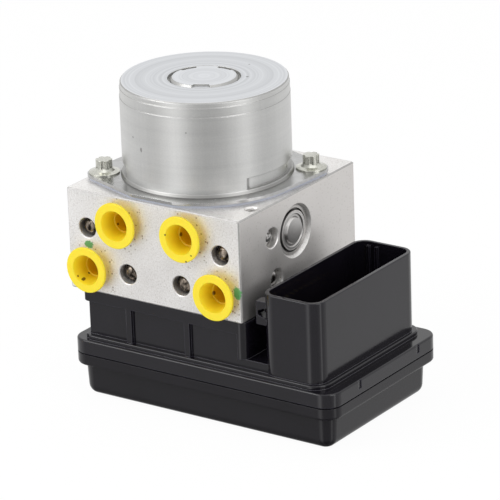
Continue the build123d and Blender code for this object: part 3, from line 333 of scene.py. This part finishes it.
def makeCanMaterial():
    look = canLook
    material, tree, shader = newMaterial("canSteel", metallic=1.0)
    edges = useGroup(tree, softEdges, Radius=look["edge"])
    upright = useGroup(tree, fineGrain, **look["upright"])["Grain"]
    level = useGroup(tree, fineGrain, **look["level"])["Grain"]
    drawn = useGroup(tree, fineGrain, **look["drawn"])["Grain"]
    bands = noise(tree, vectorCalc(tree, "MULTIPLY", place(tree), look["bands"]), 1.0, 1.0)["Fac"]
    rings = useGroup(tree, turningMarks, Pitch=look["turnPitch"])
    height = along(tree, "Z")
    facesUp = facing(tree, (0.0, 0.0, 1.0), 0.25, 0.75)
    isTop = times(tree, facing(tree, (0.0, 0.0, 1.0)), calc(tree, "GREATER_THAN", height, look["topFrom"]))
    streak = weigh(tree, (upright, 0.10), (bands, 0.40), (level, 0.25), (drawn, 0.25))
    wall = blendColour(tree, spread(tree, streak, 0.35, 0.70), look["wallDark"], look["wall"])
    turned = weigh(tree, (rings["Band"], 0.6), (rings["Ring"], 0.4))
    top = blendColour(tree, spread(tree, turned, 0.35, 0.65), look["topDark"], look["top"])
    metal = blendColour(tree, isTop, wall, top)
    dust = useGroup(tree, specks, **look["dust"])["Mask"]
    metal = coverWith(tree, metal, dust, 0.7, look["speck"])
    metal = coverWith(tree, metal, spotsOn(tree, look["marks"]), 0.55, look["speck"])
    # painted shade: darker at the lip, on up-facing ledges below the top, and in corners
    lip = spread(tree, height, look["lipLevel"] - look["lipFade"], look["lipLevel"], 0.6, 0.0)
    ledge = times(tree, calc(tree, "SUBTRACT", facesUp, isTop), 0.45)
    shade = largest(tree, lip, ledge, cornerShade(tree, 0.0009, 0.5))
    metal = blendColour(tree, shade, metal, look["shade"])
    relief = calc(tree, "ADD", times(tree, rings["Ring"], isTop), times(tree, upright, 0.5))
    normal = bumpOn(tree, relief, edges["Normal"], 0.15, 0.00004)
    dress(tree, shader, metal, spread(tree, streak, 0.3, 0.8, *look["roughness"]), normal)
    return material


# Plated, wound and turned metal of the small pieces

metalLook = {
    # each shade is how strong the painted shade is in that metal's corners
    "plate": {"pale": "cdcdcd", "dark": "b0b0af", "roughness": 0.28, "grain": 0.002, "shade": 0.3},
    "screw": {"pale": "dadad2", "dark": "b2b2a8", "roughness": 0.20, "grain": 0.0008, "shade": 0.9},
    "spring": {"pale": "6b625c", "dark": "322d2a", "roughness": 0.38, "grain": 0.0007},
    "copper": {"pale": "c97f52", "dark": "9c5730", "roughness": 0.30},
    "brass": {"pale": "d9c98e", "dark": "b8a566", "roughness": 0.25, "grain": 0.0008},
    "magnet": {"pale": "4a4a4a", "dark": "2c2c2c", "roughness": 0.50, "grain": 0.0005},
    "turned": {
        "pale": "dddbd9", "dark": "c6c4c2", "roughness": 0.30,
        "centre": (0.0, 0.0, 0.0663), "across": (0.0, 1.0, 1.0),  # turned about the pump's axis
    },
}
paintedGrooveShade = tint("2a2824")  # the colour of the painted shade in their corners
paintedShadeReach = 0.0012  # how far the painted corner shade reaches
metalEdge = 0.0002


def makeMetalMaterial(name, pale, dark, roughness, grain=0.0006, shade=0.4):
    material, tree, shader = newMaterial(name, metallic=1.0)
    edges = useGroup(tree, softEdges, Radius=metalEdge)
    grains = useGroup(tree, fineGrain, Size=grain)
    tone = weigh(tree, (grains["Grain"], 0.3), (grains["Cloud"], 0.7))
    metal = blendColour(tree, spread(tree, tone, 0.38, 0.62), tint(dark), tint(pale))
    # paler along sharp edges: a painted highlight
    metal = coverWith(tree, metal, edges["Edge"], 0.35, tint(pale))
    # painted shade in the corners
    metal = blendColour(tree, cornerShade(tree, paintedShadeReach, shade), metal, paintedGrooveShade)
    rough = cloudy(tree, grains, roughness - 0.05, roughness + 0.07)
    dress(tree, shader, metal, rough, bumpOn(tree, grains["Grain"], edges["Normal"], 0.2, 0.00005))
    return material


def makeTurnedMaterial(name, pale, dark, roughness, centre, across, pitch=0.0006):
    material, tree, shader = newMaterial(name, metallic=1.0)
    edges = useGroup(tree, softEdges, Radius=metalEdge)
    rings = useGroup(tree, turningMarks, Centre=centre, Across=across, Pitch=pitch)
    tone = weigh(tree, (rings["Band"], 0.5), (rings["Ring"], 0.5))
    metal = blendColour(tree, spread(tree, tone, 0.2, 0.8), tint(dark), tint(pale))
    # painted shade in the corners
    metal = blendColour(tree, cornerShade(tree, paintedShadeReach, 0.5), metal, paintedGrooveShade)
    rough = spread(tree, tone, 0.3, 0.7, roughness - 0.04, roughness + 0.08)
    dress(tree, shader, metal, rough, bumpOn(tree, rings["Ring"], edges["Normal"], 0.12, 0.00005))
    return material


# Balls pressed into the drilled passages: dark and streaked in front; those in the right face are painted
# brighter, a painted highlight

ballLook = {
    "pale": tint("a39689"),
    "dark": tint("231f1c"),
    # brighter colours for the right face's balls: a painted highlight
    "litSidePale": tint("fdfcfa"),
    "litSideDark": tint("45413d"),
    "sideFrom": 0.0335,  # x beyond which a ball is one of the right face's
    "roughness": (0.40, 0.25),
    "streaks": {"Size": 0.0016, "Stretch": (1.0, 1.0, 0.6)},
}


def makeBallMaterial():
    look = ballLook
    material, tree, shader = newMaterial("ballSteel", metallic=1.0)
    streaks = useGroup(tree, fineGrain, **look["streaks"])["Grain"]
    tone = spread(tree, streaks, 0.42, 0.64)
    front = blendColour(tree, tone, look["dark"], look["pale"])
    # the right face's balls: a brighter copy of the same steel, painted highlight
    side = blendColour(tree, tone, look["litSideDark"], look["litSidePale"])
    isSide = calc(tree, "GREATER_THAN", along(tree, "X"), look["sideFrom"])
    normal = addNode(tree, "NewGeometry").outputs["Normal"]
    rough = spread(tree, tone, 0.0, 1.0, *look["roughness"])
    metal = blendColour(tree, isSide, front, side)
    dress(tree, shader, metal, rough, bumpOn(tree, streaks, normal, 0.4, 0.00012))
    return material


# Valve block: milled aluminium with a fine grain, and two dabs of green paint

blockLook = {
    "pale": tint("fdfcfb"),
    "dark": tint("e2dfdc"),
    "side": tint("e4e1df"),
    "metallic": 0.80,  # the blasted skin scatters some of the light
    "sideMetallic": 0.95,
    "pit": tint("a39e96"),
    # colour of the painted shade in holes and corners and on the edge chamfers
    "shade": tint("262422"),
    "speck": tint("5a554c"),
    # colour of the painted reflection of the yellow plugs, laid on as specks
    "plugReflection": tint("6b4f22"),
    "green": tint("3f9e4c"),
    "roughness": 0.48,
    "edge": 0.0002,
    "grain": 0.0006,
    "milled": {"Size": 0.0007, "Stretch": (1.0, 0.06, 1.0)},
    "pits": {"Spacing": 0.0009, "Size": 0.00034, "Share": 0.5},
    "dust": {"Spacing": 0.0075, "Size": 0.00040, "Share": 0.22},
    "reflectionSpecks": {"Spacing": 0.0009, "Size": 0.00042, "Share": 0.22},
    "chamfer": (0.0006, 0.0004),  # in from the block's edge: where its shade starts, and is full
    "plugReflectionShift": (0.0012, 0.0, -0.0008),  # the painted reflection of the yellow plug lies to the lower right of each port
    "plugReflectionReach": (0.0090, 0.0118),  # from a port's middle: thick, and gone
    "dabs": (
        ((-0.0290, -0.0354, 0.0603), (0.0020, 0.0020, 0.0014)),
        ((0.0364, -0.0354, 0.0536), (0.0017, 0.0020, 0.0026)),
    ),
}


def blockEdges(tree):  # 1 on the small chamfers along the block's own edges, which get painted shade
    low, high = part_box("valve_block")
    start, full = blockLook["chamfer"]
    middle = [(a + b) / 2 for a, b in zip(low, high)]
    half = [(b - a) / 2 for a, b in zip(low, high)]
    away = vectorCalc(tree, "ABSOLUTE", vectorCalc(tree, "SUBTRACT", place(tree), middle))
    away = addNode(tree, "SeparateXYZ", {"Vector": away}).outputs
    x, y, z = (spread(tree, away[axis], half[axis] - start, half[axis] - full) for axis in range(3))
    return largest(tree, times(tree, x, y), times(tree, y, z), times(tree, z, x))


def plugReflectionMask(tree):  # painted reflection of the yellow plugs: thick beside a port's plug on the front face, falling to 0
    reach = 1.0
    for name in parts:
        if name.startswith("port_plug"):
            middle = [(low + high) / 2 for low, high in zip(*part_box(name))]
            centre = Vector(middle) + Vector(blockLook["plugReflectionShift"])
            away = vectorCalc(tree, "SUBTRACT", place(tree), centre)
            away = vectorCalc(tree, "MULTIPLY", away, (1.0, 0.0, 1.0))
            reach = calc(tree, "MINIMUM", reach, vectorCalc(tree, "LENGTH", away))
    onFront = facing(tree, (0.0, -1.0, 0.0))
    return times(tree, spread(tree, reach, *blockLook["plugReflectionReach"], 0.6, 0.0), onFront)


def makeBlockMaterial():
    look = blockLook
    material, tree, shader = newMaterial("blockAluminium", metallic=1.0)
    edges = useGroup(tree, softEdges, Radius=look["edge"])
    grains = useGroup(tree, fineGrain, Size=look["grain"])
    milled = useGroup(tree, fineGrain, **look["milled"])["Grain"]
    isSide = facing(tree, (1.0, 0.0, 0.0))
    tone = weigh(tree, (grains["Cloud"], 0.3), (grains["Grain"], 0.7))
    face = blendColour(tree, spread(tree, tone, 0.35, 0.65), look["dark"], look["pale"])
    stripe = weigh(tree, (tone, 0.65), (milled, 0.35))
    brushed = blendColour(tree, spread(tree, stripe, 0.35, 0.65), look["dark"], look["side"])
    metal = blendColour(tree, isSide, face, brushed)
    metal = coverWith(tree, metal, useGroup(tree, specks, **look["pits"])["Mask"], 0.20, look["pit"])
    metal = coverWith(tree, metal, useGroup(tree, specks, **look["dust"])["Mask"], 0.6, look["speck"])
    reflectionSpecks = useGroup(tree, specks, **look["reflectionSpecks"])["Mask"]
    # yellow-brown specks beside each port: a painted reflection of the yellow plugs
    metal = coverWith(tree, metal, reflectionSpecks, plugReflectionMask(tree), look["plugReflection"])
    # painted shade in holes and corners and on the edge chamfers
    shade = largest(tree, cornerShade(tree, 0.002, 0.92), times(tree, blockEdges(tree), 0.45))
    metal = blendColour(tree, shade, metal, look["shade"])
    paint = times(tree, spotsOn(tree, look["dabs"]), 0.9)
    metal = blendColour(tree, paint, metal, look["green"])
    bare = spread(tree, isSide, 0.0, 1.0, look["metallic"], look["sideMetallic"])
    connect(tree, times(tree, bare, calc(tree, "SUBTRACT", 1.0, paint)), shader["Metallic"])
    relief = calc(tree, "ADD", grains["Grain"], times(tree, milled, isSide))
    rough = cloudy(tree, grains, look["roughness"] - 0.05, look["roughness"] + 0.08)
    dress(tree, shader, metal, rough, bumpOn(tree, relief, edges["Normal"], 0.25, 0.00005))
    return material


# Plastics, rubber and carbon

plasticLook = {
    # edgeHighlight is the colour of the painted highlight along sharp edges
    "housing": {"base": "121016", "roughness": 0.11, "edge": 0.0003, "edgeHighlight": "474550", "gloss": 0.47},
    "cover": {"base": "121015", "roughness": 0.16, "edge": 0.0002, "edgeHighlight": "242228", "gloss": 0.36},
    "seal": {"base": "1b1b1c", "roughness": 0.6},
    "board": {"base": "1d5a34", "roughness": 0.35},
    "chip": {"base": "202022", "roughness": 0.4},
    "coil": {"base": "3c3c3e", "roughness": 0.4},
    "carbon": {"base": "2a2a2a", "roughness": 0.6},
}


def makePlasticMaterial(name, base, roughness, edge=0.00035, edgeHighlight=None, gloss=0.5):
    material, tree, shader = newMaterial(name, Specular_IOR_Level=gloss)
    edges = useGroup(tree, softEdges, Radius=edge)
    grains = useGroup(tree, fineGrain, Size=0.0005)
    colour = tint(base)
    lighter = tuple(min(1.0, c * 1.35) for c in colour[:3]) + (1.0,)
    skin = blendColour(tree, cloudy(tree, grains, 0.0, 1.0), colour, lighter)
    # lighter along sharp edges: a painted highlight, in the edge highlight colour or the lighter tone
    skin = blendColour(tree, edges["Edge"], skin, tint(edgeHighlight) if edgeHighlight else lighter)
    rough = cloudy(tree, grains, roughness - 0.03, roughness + 0.05)
    dress(tree, shader, skin, rough, bumpOn(tree, grains["Grain"], edges["Normal"], 0.12, 0.00004))
    return material


# Gasket between the motor's flange and the block

gasketLook = {
    "skin": tint("bcc0cb"),
    "skinDark": tint("9ba1b0"),
    "shade": tint("2b2b30"),  # painted shade: the dark line where the plate presses on it
    "line": 0.00022,  # how far down that line reaches
    "roughness": (0.50, 0.62),
    "edge": 0.0002,
    "grain": 0.0005,
}


def makeGasketMaterial():
    look = gasketLook
    material, tree, shader = newMaterial("gasketGrey")
    edges = useGroup(tree, softEdges, Radius=look["edge"])
    grains = useGroup(tree, fineGrain, Size=look["grain"])
    skin = blendColour(tree, cloudy(tree, grains, 0.0, 0.25), look["skin"], look["skinDark"])
    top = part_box("motor_gasket")[1][2]
    # painted shade: a dark band along the gasket's top, under the plate
    plateShadeLine = spread(tree, along(tree, "Z"), top - 1.4 * look["line"], top - look["line"], 0.0, 0.85)
    skin = blendColour(tree, plateShadeLine, skin, look["shade"])
    normal = bumpOn(tree, grains["Grain"], edges["Normal"], 0.1, 0.00004)
    dress(tree, shader, skin, cloudy(tree, grains, *look["roughness"]), normal)
    return material


# Yellow plugs in the ports, with crumbs of dirt inside, and painted shade darkening their yellow further in

plugLook = {
    "yellow": tint("ffe62e"),
    # a darker yellow further in: painted shade
    "shadedYellow": tint("e3b800"),
    "dirt": tint("3a1c08"),
    "roughness": (0.38, 0.50),
    "edge": 0.0004,
    "grain": 0.0006,
    "face": -0.0393,  # y of the plugs' outer rims
    "shadeDepths": (0.0004, 0.007),  # from the face to where the painted shade's deeper yellow starts, and is full
    "dustFrom": (0.001, 0.003),
    "dust": {"Spacing": 0.0045, "Size": 0.0005, "Share": 0.15},
    "spots": (  # crumbs of dirt: place and size
        ((-0.03075, -0.03725, 0.0470), (0.0007, 0.0010, 0.0007)),
        ((-0.03247, -0.03827, 0.0482), (0.0004, 0.0004, 0.0005)),
        ((-0.03084, -0.03376, 0.0482), (0.0004, 0.0004, 0.0004)),
        ((0.01067, -0.03259, 0.0704), (0.0006, 0.0008, 0.0008)),
        ((0.00851, -0.03927, 0.0719), (0.0004, 0.0004, 0.0004)),
        ((0.01959, -0.03927, 0.0660), (0.0004, 0.0004, 0.0003)),
        ((0.01728, -0.03927, 0.0633), (0.0004, 0.0004, 0.0004)),
        ((0.02447, -0.03297, 0.0507), (0.0006, 0.0009, 0.0008)),
        ((-0.01749, -0.03242, 0.0692), (0.0004, 0.0006, 0.0005)),
    ),
}


def makePlugMaterial():
    look = plugLook
    material, tree, shader = newMaterial("plugYellow", Subsurface_Weight=0.15, Subsurface_Scale=0.002)
    edges = useGroup(tree, softEdges, Radius=look["edge"])
    grains = useGroup(tree, fineGrain, Size=look["grain"])
    depth = along(tree, "Y")
    # painted shade: darker yellow further from the plug's face
    inside = spread(tree, depth, *(look["face"] + way for way in look["shadeDepths"]))
    skin = blendColour(tree, inside, look["yellow"], look["shadedYellow"])
    dust = useGroup(tree, specks, **look["dust"])["Mask"]
    dust = times(tree, dust, spread(tree, depth, *(look["face"] + way for way in look["dustFrom"])))
    dirt = largest(tree, dust, times(tree, spotsOn(tree, look["spots"]), 0.85))
    skin = blendColour(tree, dirt, skin, look["dirt"])
    normal = bumpOn(tree, grains["Grain"], edges["Normal"], 0.1, 0.00005)
    dress(tree, shader, skin, cloudy(tree, grains, *look["roughness"]), normal)
    return material


materials = {
    "can_steel": makeCanMaterial(),
    "plate_steel": makeMetalMaterial("plateSteel", **metalLook["plate"]),
    "screw_steel": makeMetalMaterial("screwZinc", **metalLook["screw"]),
    "dark_steel": makeMetalMaterial("darkSteel", **metalLook["spring"]),
    "bright_steel": makeTurnedMaterial("turnedSteel", **metalLook["turned"]),
    "block_aluminium": makeBlockMaterial(),
    "gasket_grey": makeGasketMaterial(),
    "black_plastic": makePlasticMaterial("housingBlack", **plasticLook["housing"]),
    "cover_plastic": makePlasticMaterial("coverBlack", **plasticLook["cover"]),
    "plug_yellow": makePlugMaterial(),
    "black_rubber": makePlasticMaterial("sealRubber", **plasticLook["seal"]),
    "copper": makeMetalMaterial("copperWire", **metalLook["copper"]),
    "pin_brass": makeMetalMaterial("pinBrass", **metalLook["brass"]),
    "magnet_dark": makeMetalMaterial("magnetDark", **metalLook["magnet"]),
    "board_green": makePlasticMaterial("boardGreen", **plasticLook["board"]),
    "part_black": makePlasticMaterial("partBlack", **plasticLook["chip"]),
    "coil_plastic": makePlasticMaterial("coilPlastic", **plasticLook["coil"]),
    "carbon": makePlasticMaterial("brushCarbon", **plasticLook["carbon"]),
}
ownMaterials = {"ball_plugs": makeBallMaterial()}  # nodes that look unlike the rest of their slot

for node, slot in slotOf.items():
    parts[node].data.materials.clear()
    parts[node].data.materials.append(ownMaterials.get(node, materials[slot]))
print("materials on", len(parts), "nodes")


def addPiece(name, mesh, slot):  # a piece of the scene's own, which rides on the unit
    bmesh.ops.recalc_face_normals(mesh, faces=mesh.faces)
    data = bpy.data.meshes.new(name)
    mesh.to_mesh(data)
    mesh.free()
    data.materials.append(materials[slot])
    piece = bpy.data.objects.new(name, data)
    bpy.context.scene.collection.objects.link(piece)
    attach(piece, "unit")
    return piece


def joinRings(mesh, rings):  # skins a row of rings and closes its ends
    sides = len(rings[0])
    for ring, following in zip(rings, rings[1:]):
        for first in range(sides):
            second = (first + 1) % sides
            mesh.faces.new((ring[first], ring[second], following[second], following[first]))
    mesh.faces.new(rings[0])
    mesh.faces.new(reversed(rings[-1]))


# Thread cut in the mounting hole

threadLook = {
    "wall": 0.00212,  # just inside the hole's wall
    "crest": 0.00196,
    "leastHeight": 0.00001,  # of the ridge where it runs out
    "top": 0.0799,
    "pitch": 0.0008,
    "flank": 0.45,  # of the pitch, each side of the crest
    "turns": 13,
    "steps": 32,  # per turn
}


def makeThread():
    look = threadLook
    axisX, axisY = next(mount["pos_m"][:2] for mount in record["mounts"] if mount["name"] == "mounting_hole")
    mesh = bmesh.new()
    total = look["turns"] * look["steps"]
    flank = look["flank"] * look["pitch"]
    rings = []
    for number in range(total + 1):
        angle = 2 * math.pi * number / look["steps"]
        height = look["top"] - look["pitch"] * number / look["steps"]
        rise = min(1.0, number / look["steps"], (total - number) / look["steps"])  # runs out at both ends
        crest = look["wall"] - rise * (look["wall"] - look["crest"]) - look["leastHeight"]
        section = ((look["wall"], height + flank), (crest, height), (look["wall"], height - flank))
        rings.append([
            mesh.verts.new((axisX + r * math.cos(angle), axisY + r * math.sin(angle), z))
            for r, z in section
        ])
    joinRings(mesh, rings)
    addPiece("mountingThread", mesh, "block_aluminium")


makeThread()
print("thread in the mounting hole")


# Springs of round wire, put in place of the CAD springs

springLook = {
    "wire": 0.00053,  # radius, just clear of what the spring stands on
    "turns": 4,
    "steps": 28,  # per turn
    "sides": 10,
    "springs": (  # node, joint, way to the fixed end
        ("pump_spring_left", "pump_stroke_left", (-1, 0, 0)),
        ("pump_spring_right", "pump_stroke_right", (1, 0, 0)),
        ("accumulator_spring_left", "accumulator_stroke_left", (0, 0, -1)),
        ("accumulator_spring_right", "accumulator_stroke_right", (0, 0, -1)),
    ),
}


def makeSpring(node, jointName, direction):
    look = springLook
    low, high = (Vector(corner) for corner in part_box(node))
    outward = Vector(direction)
    across = Vector((0.0, 1.0, 0.0))
    upward = outward.cross(across)
    length = abs((high - low).dot(outward))
    radius = abs((high - low).dot(across)) / 2 - look["wire"]
    fixedEnd = (low + high) / 2 + outward * length / 2
    rise = length - 2 * look["wire"]
    total = look["turns"] * look["steps"]
    mesh = bmesh.new()
    rings = []
    for number in range(total + 1):
        angle = 2 * math.pi * number / look["steps"]
        spoke = across * math.cos(angle) + upward * math.sin(angle)
        onward = (upward * math.cos(angle) - across * math.sin(angle)) * radius
        onward -= outward * rise / (2 * math.pi * look["turns"])
        beside = onward.normalized().cross(spoke)
        centre = fixedEnd - outward * (look["wire"] + rise * number / total) + spoke * radius
        rings.append([
            mesh.verts.new(centre + (spoke * math.cos(turn) + beside * math.sin(turn)) * look["wire"])
            for turn in (2 * math.pi * side / look["sides"] for side in range(look["sides"]))
        ])
    joinRings(mesh, rings)
    for face in mesh.faces:
        face.smooth = len(face.verts) == 4
    spring = addPiece(node.replace("_", ".") + ".wire", mesh, slotOf[node])
    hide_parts(node)
    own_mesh(spring)


for springPlace in springLook["springs"]:
    makeSpring(*springPlace)
print("springs:", len(springLook["springs"]))


# Floor, background and lamps

stageLook = {
    "floorSize": 6.0,
    "floorLevel": -0.0002,
    "floorColour": tint("f2f2f2"),
    "white": 1.01,
    "glow": 0.95,  # how much of the floor the camera sees as plain white
    "surroundings": (  # compass angle from +X and how bright reflections see that side
        (-180, 0.92), (-150, 0.92), (-132, 0.64), (-114, 0.62), (-100, 1.5), (-90, 1.5), (-80, 0.60),
        (-68, 0.50), (-24, 0.50), (-7, 0.72), (-2, 1.6), (3, 1.6), (10, 0.62), (35, 0.70), (52, 0.82),
        (75, 0.95), (180, 0.95),
    ),
    "skyFrom": (0.5, 0.7),  # how steeply a reflection looks up where plain white begins, and is full
    "under": (-0.85, -0.45, 0.2),  # how steeply down the object's own shadow lies, and how bright it is
    "ambient": 0.62,
    "aim": (0.0, 0.0, 0.06),
    "lamps": (  # name, place, size, power
        ("keyLamp", (-0.55, -0.75, 0.75), (0.7, 0.7), 5.0),
        ("fillLamp", (0.95, -0.25, 0.45), (0.5, 0.7), 2.4),
        ("topLamp", (0.0, 0.15, 1.1), (0.8, 0.8), 1.2),
    ),
}


def makeFloor():
    look = stageLook
    mesh = bpy.data.meshes.new("floor")
    half = look["floorSize"] / 2
    corners = [(-half, -half, 0), (half, -half, 0), (half, half, 0), (-half, half, 0)]
    mesh.from_pydata(corners, [], [(0, 1, 2, 3)])
    floor = bpy.data.objects.new("floor", mesh)
    bpy.context.scene.collection.objects.link(floor)
    floor.location.z = look["floorLevel"]
    material = bpy.data.materials.new("paleFloor")
    material.use_nodes = True
    tree = material.node_tree
    tree.nodes.remove(tree.nodes["Principled BSDF"])
    matte = addNode(tree, "BsdfDiffuse", {"Color": look["floorColour"]}).outputs[0]
    rays = addNode(tree, "LightPath").outputs
    white = addNode(tree, "Emission", {"Strength": look["white"]}).outputs[0]
    share = times(tree, rays["Is Camera Ray"], look["glow"])
    mixed = addNode(tree, "MixShader", {0: share, 1: matte, 2: white}).outputs[0]
    clear = addNode(tree, "BsdfTransparent").outputs[0]
    reflected = calc(tree, "MAXIMUM", rays["Is Glossy Ray"], rays["Is Transmission Ray"])
    mixed = addNode(tree, "MixShader", {0: reflected, 1: mixed, 2: clear}).outputs[0]
    connect(tree, mixed, tree.nodes["Material Output"].inputs["Surface"])
    floor.data.materials.append(material)


def makeWorld():
    look = stageLook
    world = bpy.data.worlds.new("studio")
    bpy.context.scene.world = world
    world.use_nodes = True
    tree = world.node_tree
    rays = addNode(tree, "LightPath").outputs
    direction = addNode(tree, "TexCoord").outputs["Generated"]
    heading = addNode(tree, "SeparateXYZ", {"Vector": direction}).outputs
    compass = calc(tree, "ARCTAN2", heading["Y"], heading["X"])
    around = addNode(tree, "ValToRGB", {"Fac": spread(tree, compass, -math.pi, math.pi)})
    stops = around.color_ramp.elements
    while len(stops) > 1:
        stops.remove(stops[-1])
    for number, (angle, level) in enumerate(look["surroundings"]):
        position = (angle + 180) / 360
        stop = stops[0] if number == 0 else stops.new(position)
        stop.position = position
        stop.color = (level, level, level, 1.0)
    low = spread(tree, heading["Z"], *look["skyFrom"], 1.0, 0.0)
    mirror = calc(tree, "MULTIPLY_ADD", calc(tree, "SUBTRACT", around.outputs["Color"], 1.0), low, 1.0)
    darkest, lightest, shadow = look["under"]
    mirror = times(tree, mirror, spread(tree, heading["Z"], darkest, lightest, shadow, 1.0))
    reflected = calc(tree, "MAXIMUM", rays["Is Glossy Ray"], rays["Is Transmission Ray"])
    strength = spread(tree, rays["Is Camera Ray"], 0.0, 1.0, look["ambient"], 1.0)
    strength = addNode(tree, "Mix", {0: reflected, 2: strength, 3: mirror}, data_type="FLOAT").outputs[0]
    background = tree.nodes["Background"]
    background.inputs["Color"].default_value = (1, 1, 1, 1)
    connect(tree, strength, background.inputs["Strength"])


def addLamp(name, spot, size, power):
    lamp = bpy.data.lights.new(name, "AREA")
    lamp.shape = "RECTANGLE"
    lamp.size, lamp.size_y = size
    lamp.energy = power
    holder = bpy.data.objects.new(name, lamp)
    holder.location = spot
    towards = Vector(stageLook["aim"]) - Vector(spot)
    holder.rotation_euler = towards.to_track_quat("-Z", "Y").to_euler()
    bpy.context.scene.collection.objects.link(holder)


# Camera at the photograph's viewing angle

cameraLook = {
    "lens": 269.12,
    "sensor": 36.0,
    "nearAndFar": (0.05, 20.0),
    "spot": (0.753325, -1.041740, 0.530881),
    "right": (0.82335224, 0.56658803, -0.032697),
    "up": (-0.17302695, 0.30547396, 0.93634787),
    "back": (0.54051157, -0.76528666, 0.34954767),
}


def addCamera():
    look = cameraLook
    data = bpy.data.cameras.new("camera")
    data.sensor_width = look["sensor"]
    data.lens = look["lens"]
    data.clip_start, data.clip_end = look["nearAndFar"]
    camera = bpy.data.objects.new("camera", data)
    axes = Matrix([Vector(look[way]) for way in ("right", "up", "back")])
    camera.matrix_world = Matrix.Translation(look["spot"]) @ axes.transposed().to_4x4()
    bpy.context.scene.collection.objects.link(camera)
    bpy.context.scene.camera = camera


makeFloor()
makeWorld()
for lampPlace in stageLook["lamps"]:
    addLamp(*lampPlace)
addCamera()
bpy.context.scene.view_settings.view_transform = "Standard"
print("stage, lamps and camera placed")
